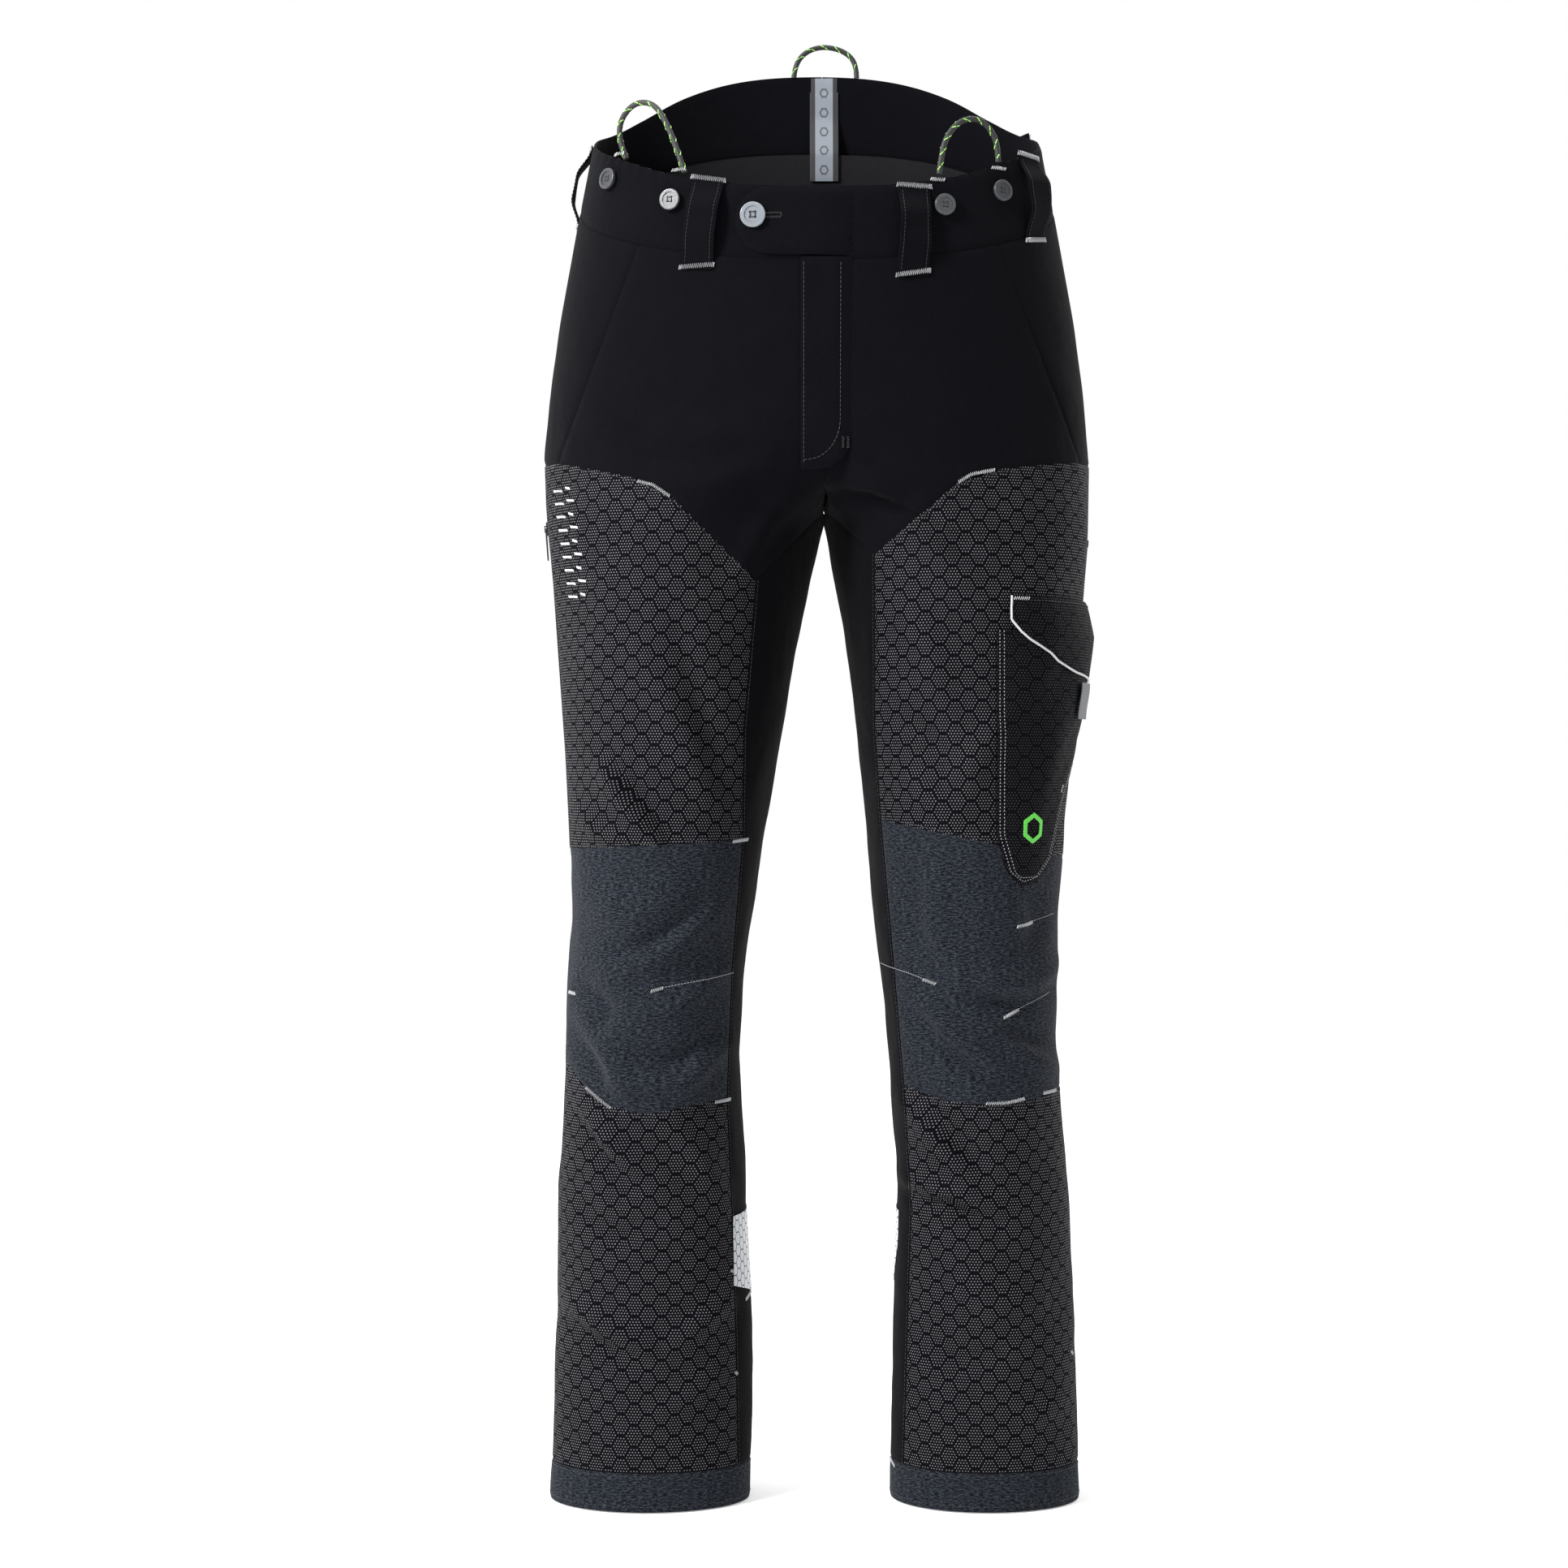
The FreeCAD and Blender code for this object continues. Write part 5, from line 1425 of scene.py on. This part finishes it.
low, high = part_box("centre_back_tape")
TAPE_X = (low.x + high.x) / 2
tape_pieces = []
for name, top, out, wide in (("under", 1.1945, 0.0, 0.0112), ("over", 1.182, 0.0013, 0.0122)):
    def tape_place(a, b, lift, out=out):
        turned = np.array([skins["right"].turn_at(-x, z, 1) if x < CROTCH[0]
                           else skins["left"].turn_at(x, z, 1) for x, z in zip(a, b)])
        sides = np.array([x < CROTCH[0] for x in a])
        spots = np.where(sides[:, None], skins["right"].spot(turned, b), skins["left"].spot(turned, b))
        deeper = 0.0078 * np.clip((1.158 - b) / 0.030, 0, 1)
        return spots - np.array((0, 1, 0)) * (0.0040 + out + deeper + np.asarray(lift))[..., None]
    left_edge, right_edge = TAPE_X - wide, TAPE_X + wide
    outline = [(left_edge, low.z), (right_edge, low.z), (right_edge, top), (left_edge, top)]
    tape_pieces.append(sew("centre_back_tape_" + name, outline, tape_place, tape_silver, "back_tape",
                           cell=0.004, thick=0.0010, roll=0.0003,
                           stands_for=["centre_back_tape"] if name == "under" else [],
                           uv=lambda a, b: np.stack([a - TAPE_X, b], 1)))
declare_sheet(tape_pieces[0], [])

# ---- cargo pocket, its flap and the webbing tab ------------------------------------------------

POCKET_SIDE = [(.140, .706), (.141, .545), (.150, .515), (.162, .503), (.176, .507), (.188, .523),
               (.198, .570), (.208, .600)]
left = skins["left"]
pocket_edge = resample(POCKET_SIDE, 0.006, False)
pocket_turns = [(left.turn_at(x, z), z) for x, z in pocket_edge] + [(0.10, .606), (0.02, .608)]
pocket_line = [(t * PLAN, z) for t, z in pocket_turns]


def pocket_lift(a, b, far=None):
    """How far the pocket stands off the thigh: nothing at its seams, a soft swell between."""
    spots = np.stack([np.atleast_1d(a), np.atleast_1d(b)], 1)
    away = edge_distance(spots, np.array(pocket_line), closed=False)
    swell = 1 - np.exp(-(away / 0.026) ** 1.5)
    ripple = 0.0009 * np.sin(spots[:, 0] * 95 + spots[:, 1] * 60) * swell
    full = 0.0052 + 0.0024 * np.clip((spots[:, 1] - 0.54) / 0.12, 0, 1)
    return 0.0006 + THICK * 0.5 + full * swell + ripple


pocket = cloth("cargo_pocket_cloth", "left", pocket_turns + [(0.02, .706)], pocket_weave, "guard_weave",
               cell=0.004, thick=0.0011, roll=0.0004, lift=pocket_lift, stands_for=["cargo_pocket"])


def on_pocket(points, out=0.0, step=0.002):
    """A line of (distance, height) laid on the pocket's face, with the way it faces."""
    line = along(points, step)
    turns = np.array([left.turn_at(x, z) for x, z in line])
    rise = pocket_lift(turns * PLAN, line[:, 1]) + out
    return left.spot(turns, line[:, 1], rise), left.facing(turns, line[:, 1])


pocket_seam = [(x + 0.0028, z) for x, z in POCKET_SIDE[:3]] + [
    (.163, .507), (.175, .511), (.1855, .526), (.1955, .572), (.2055, .603)]
pocket_dots = []
for shift in (0.0, 0.0032):
    run, _ = on_pocket([(x + (shift if z > .51 and x < .17 else -shift * .6), z + (shift if z < .51 else 0))
                        for x, z in pocket_seam], 0.0002)
    pocket_dots += stitch_paths(run, 0.0012, 0.0016)
pocket_stitches = threads("cargo_pocket_stitches", pocket_dots, 0.00034, pale_thread)
tack_run, tack_way = on_pocket([(.1931, .5791), (.1942, .5845)], 0.0003, 0.0008)
pocket_tack = threads("cargo_pocket_tack", bar_tack(tack_run, tack_way, 0.0026), 0.0004, white_thread)
declare_sheet(pocket, [panels["thigh_panel_left"]])

FLAP_TOP, FLAP_BEND = 0.7335, 0.706


def flap_lift(a, b, far=None):
    """How far the flap stands off the thigh: more towards its free edge."""
    share = np.clip((FLAP_TOP - np.atleast_1d(b)) / (FLAP_TOP - FLAP_BEND), 0, 1)
    wave = 0.0006 * np.sin(np.atleast_1d(a) * 70 + np.atleast_1d(b) * 90)
    return 0.0026 + 0.0080 * share ** 0.8 + wave * share


FLAP_EDGE = [(.152, FLAP_TOP), (.1505, .724), (.150, .715), (.1565, .706), (.163, .700), (.171, .695),
             (.178, .690), (.184, .684), (.199, .6755), (.215, .6705)]
flap_turns = [(left.turn_at(x, z), z) for x, z in resample(FLAP_EDGE, 0.0046, False)] + [(0.015, .6700)]
flap = cloth("cargo_flap_cloth", "left", flap_turns + [(0.015, FLAP_TOP)], pocket_weave, "guard_weave",
             cell=0.0046, thick=0.0016, roll=0.0006, lift=flap_lift, body=None, stands_for=["cargo_flap"])


def flap_run(line, out, step=0.0015):
    """A (turn, height) line laid on the flap, with the way it faces."""
    turns = along([(t * PLAN, z) for t, z in line], step)
    rise = flap_lift(turns[:, 0], turns[:, 1]) + out
    turns[:, 0] /= PLAN
    return left.spot(turns[:, 0], turns[:, 1], rise), left.facing(turns[:, 0], turns[:, 1])


piping_path, _ = flap_run(flap_turns, -0.0006)
piping = threads("cargo_flap_piping", [piping_path], 0.00095, white_thread, body=None, sides=8)
corner = [(left.turn_at(x, .7318), .7318) for x in (.1532, .1655)]
corner, corner_way = flap_run(corner, 0.0004, 0.0008)
flap_tack = threads("cargo_flap_tack", bar_tack(corner, corner_way, 0.0024), 0.0004, white_thread, body=None)
top_run, _ = flap_run([(left.turn_at(.166, .7305), .7305), (0.03, .7305)], 0.0002)
flap_stitches = threads("cargo_flap_stitches", stitch_paths(top_run), 0.00026, grey_thread,
                        body=None)
for piece in (flap, piping, flap_tack, flap_stitches):
    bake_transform(piece)
declare_sheet(flap, [panels["thigh_panel_left"]])

middle, long, wide, thin, half = local_frame("flap_pull_tab")


def tab_place(s):
    return middle + long * s + thin * 0.0006 * math.sin(s / half[0] * 2.4) - thin * 0.0004


tab_ends = half[0] - 0.0003
points, faces, uv = strap_mesh(tab_place, lambda s: (wide, thin), np.linspace(-tab_ends, tab_ends, 24),
                               half[1] - 0.0005, 0.0007)
pull = new_piece("flap_pull_tab_webbing", points, faces, grey_webbing, "pull_tab_body", uvs=uv)
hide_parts("flap_pull_tab")

# ---- marks: a plain hexagon on the pocket, plain bars on the right thigh -----------------------

MARK = (.1677, .5501)
MARK_POINTS = 48
rings = []
for wide_by, high_by in ((.0085, .0125), (.0058, .0086)):
    corners = [(MARK[0] + wide_by * math.sin(k * math.pi / 3), MARK[1] + high_by * math.cos(k * math.pi / 3))
               for k in range(7)]
    run = on_pocket(corners, 0.0003, 0.0012)[0][:-1]
    closed = along(np.concatenate([run, run[:1]]), 1e-4)
    rings.append(closed[np.linspace(0, len(closed) - 2, MARK_POINTS).astype(int)])
facing = on_pocket([MARK, (.1680, .5501)], 0, 0.0003)[1][0]
hexagon_points = [spot for lift in (0.0006, -0.0002) for ring in rings for spot in ring + facing * lift]
hexagon_faces = []
for k in range(MARK_POINTS):
    n = (k + 1) % MARK_POINTS
    for a, b in ((0, 1), (1, 3), (3, 2), (2, 0)):
        a, b = a * MARK_POINTS, b * MARK_POINTS
        hexagon_faces.append((a + k, a + n, b + n, b + k))
new_piece("pocket_hexagon_mark", hexagon_points, hexagon_faces, green_mark)

bars_top, bars_foot = np.array((-.2085, .8215)), np.array((-.1945, .7285))
drop = (bars_foot - bars_top) / np.linalg.norm(bars_foot - bars_top)
slant = np.array((-drop[1], drop[0]))
bar_runs = []
for k in range(9):
    start = bars_top + drop * 0.0108 * k
    for shift, length in ((0.0, 0.0075), (0.0105, 0.0060 if k % 2 else 0.0038)):
        first = start + slant * (shift - 0.004)
        bar_runs.append(on_front([first, first + drop * 0.002 + slant * length], "right", 0.0003))
bars_points, bars_faces = tube_mesh(bar_runs, 0.0012, 8, 0.3)
new_piece("thigh_bar_marks", bars_points, bars_faces, white_thread)

# ---- bar tacks and stitching over the seams --------------------------------------------------

def lines_from(rows):
    """Lines of (x, height) on the front, from rows in tenths of a millimetre."""
    made = []
    for row in rows.split(","):
        flat = [int(n) / 10000 for n in row.split()]
        made.append(list(zip(flat[::2], flat[1::2])))
    return made


TACKS = lines_from("""
    -1423 8239 -1308 8207 -1168 8111, 1100 8220 1202 8284 1391 8327, -684 5388 -562 5404,
    -1863 3404 -1772 3336 -1658 3257, -828 3285 -706 3294, -1330 4200 -1234 4226,
    -2022 4154 -1962 4148, 1344 3300 1510 3301 1657 3328, 1820 3358 1943 3363, 844 4287 941 4255,
    1480 3986 1607 4041, 1588 4709 1726 4736, -584 1641 -545 1679, -701 1909 -668 1885,
    -668 1075 -650 1050, 604 309 637 269, 2070 1225 2088 1195, -1625 10888 -1541 10888,
    -1156 10700 -1047 10700, 881 10612 997 10612, 1377 10745 1493 10745""")
DARTS = lines_from("""
    -1317 4213 -1014 4271 -677 4326, 524 4385 732 4332 921 4261, 1493 3993 1676 4082 1881 4168,
    1601 4715 1746 4749 1916 4801""")
tack_runs = []
for line in TACKS:
    path = along(line, 0.0012)
    lift = 0.0004 if path[0][1] < 0.99 else 0.0009
    leg = "right" if path[0][0] < CROTCH[0] else "left"
    run = on_front(path, leg, lift)
    tack_runs += bar_tack(run, front_way(path, leg), 0.0023, 0.0008)
threads("bar_tacks", tack_runs, 0.00042, white_thread)

dart_runs = []
for line in DARTS:
    path = along(line, 0.002)
    leg = "right" if path[0][0] < CROTCH[0] else "left"
    dart_runs += stitch_paths(on_front(path, leg, 0.0001), 0.0016, 0.0010)
threads("dart_stitches", dart_runs, 0.00032, pale_thread)

for leg in SIDE:
    line = seams[leg]
    runs = []
    for name, shift in (("knee_top", .0022), ("knee_low", -.0022), ("thigh_top", -.0022)):
        shifted = [(t, z + shift) for t, z in line[name]]
        runs += stitch_paths(on_skin(leg, shifted, 0.00005))
    inner = [(t + 0.018, z) for t, z in line["inner"]]
    runs += stitch_paths(on_skin(leg, inner, 0.00005))
    for height in (0.0045, HEM_HEIGHT - 0.0022):
        ring = [(t, height) for t in np.linspace(0.02, TAU - 0.02, 90)]
        runs += stitch_paths(on_skin(leg, ring, 0.00005), 0.0026, 0.0014)
    threads("seam_stitches_" + leg, runs, 0.00022, grey_thread, sides=4)

# ---- seam allowances: narrow strips behind the seams, which close them ------------------------

for leg in SIDE:
    skin = skins[leg]
    low_back = middle_line(leg, CROTCH[1] + 0.001, 1.19, 1)
    low_front = middle_line(leg, CROTCH[1] + 0.001, 0.99, -1)
    backed = {name: line for name, line in seams[leg].items() if name != "slash"}
    backed["band"] = level_line(leg, "seam", 0.0, low_front[-1][0])
    backed["yoke"] = level_line(leg, "seam", low_back[-1][0], TAU)
    backed["back"], backed["front"] = low_back, [p for p in low_front if p[1] < FLY_SLOT_LOW + 0.002]
    backed["side"] = [(TAU, 0.035), (TAU, 1.085)]
    strip_points, strip_faces = [], []
    for line in backed.values():
        cut_line = along([(turn * PLAN, z) for turn, z in line], 0.006)
        turns, heights = cut_line[:, 0] / PLAN, cut_line[:, 1]
        spots, ways = skin.spot(turns, heights, -0.0021), skin.facing(turns, heights)
        across = np.cross(ways, np.gradient(spots, axis=0))
        across /= np.linalg.norm(across, axis=1)[:, None]
        points, faces, _ = strap_mesh(lambda k: spots[k], lambda k: (across[k], ways[k]),
                                      range(len(spots)), 0.0034, 0.0006)
        strip_faces += [tuple(len(strip_points) + i for i in face) for face in faces]
        strip_points += points
    new_piece("seam_backing_" + leg, strip_points, strip_faces, stretch)

# ---- floor and world ------------------------------------------------------------------------

FLOOR = 9.0
floor_mesh = bpy.data.meshes.new("floor")
floor_mesh.from_pydata([(x, y, -0.001) for x, y in ((-FLOOR, -FLOOR), (FLOOR, -FLOOR), (FLOOR, FLOOR),
                                                    (-FLOOR, FLOOR))], [], [(0, 1, 2, 3)])
floor = bpy.data.objects.new("floor", floor_mesh)
bpy.context.scene.collection.objects.link(floor)
floor_paint = bpy.data.materials.new("floor")
floor_paint.use_nodes = True
surface = floor_paint.node_tree.nodes["Principled BSDF"].inputs
for name, item in (("Base Color", (0.86, 0.86, 0.86, 1)), ("Roughness", 0.7),
                   ("Emission Color", (1, 1, 1, 1)), ("Emission Strength", 0.36)):
    surface[name].default_value = item
floor_mesh.materials.append(floor_paint)
floor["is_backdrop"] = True

# the room: a white wall behind the object, a dimmer side before it
WALL_FROM, WALL_TO, DIM, BRIGHT = -0.8, 0.35, 0.26, 1.0
world = bpy.data.worlds.new("studio")
world.use_nodes = True
sky = world.node_tree.nodes
aim = sky.new("ShaderNodeTexCoord")
split = sky.new("ShaderNodeSeparateXYZ")
share = sky.new("ShaderNodeMapRange")
for k, value in enumerate((WALL_FROM, WALL_TO, DIM, BRIGHT)):
    share.inputs[k + 1].default_value = value
world.node_tree.links.new(aim.outputs["Generated"], split.inputs[0])
world.node_tree.links.new(split.outputs["Y"], share.inputs["Value"])
world.node_tree.links.new(share.outputs["Result"], sky["Background"].inputs["Strength"])
sky["Background"].inputs["Color"].default_value = (1, 1, 1, 1)
bpy.context.scene.world = world
bpy.context.scene.view_settings.view_transform = "Standard"
bpy.context.view_layer.update()

low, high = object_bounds()
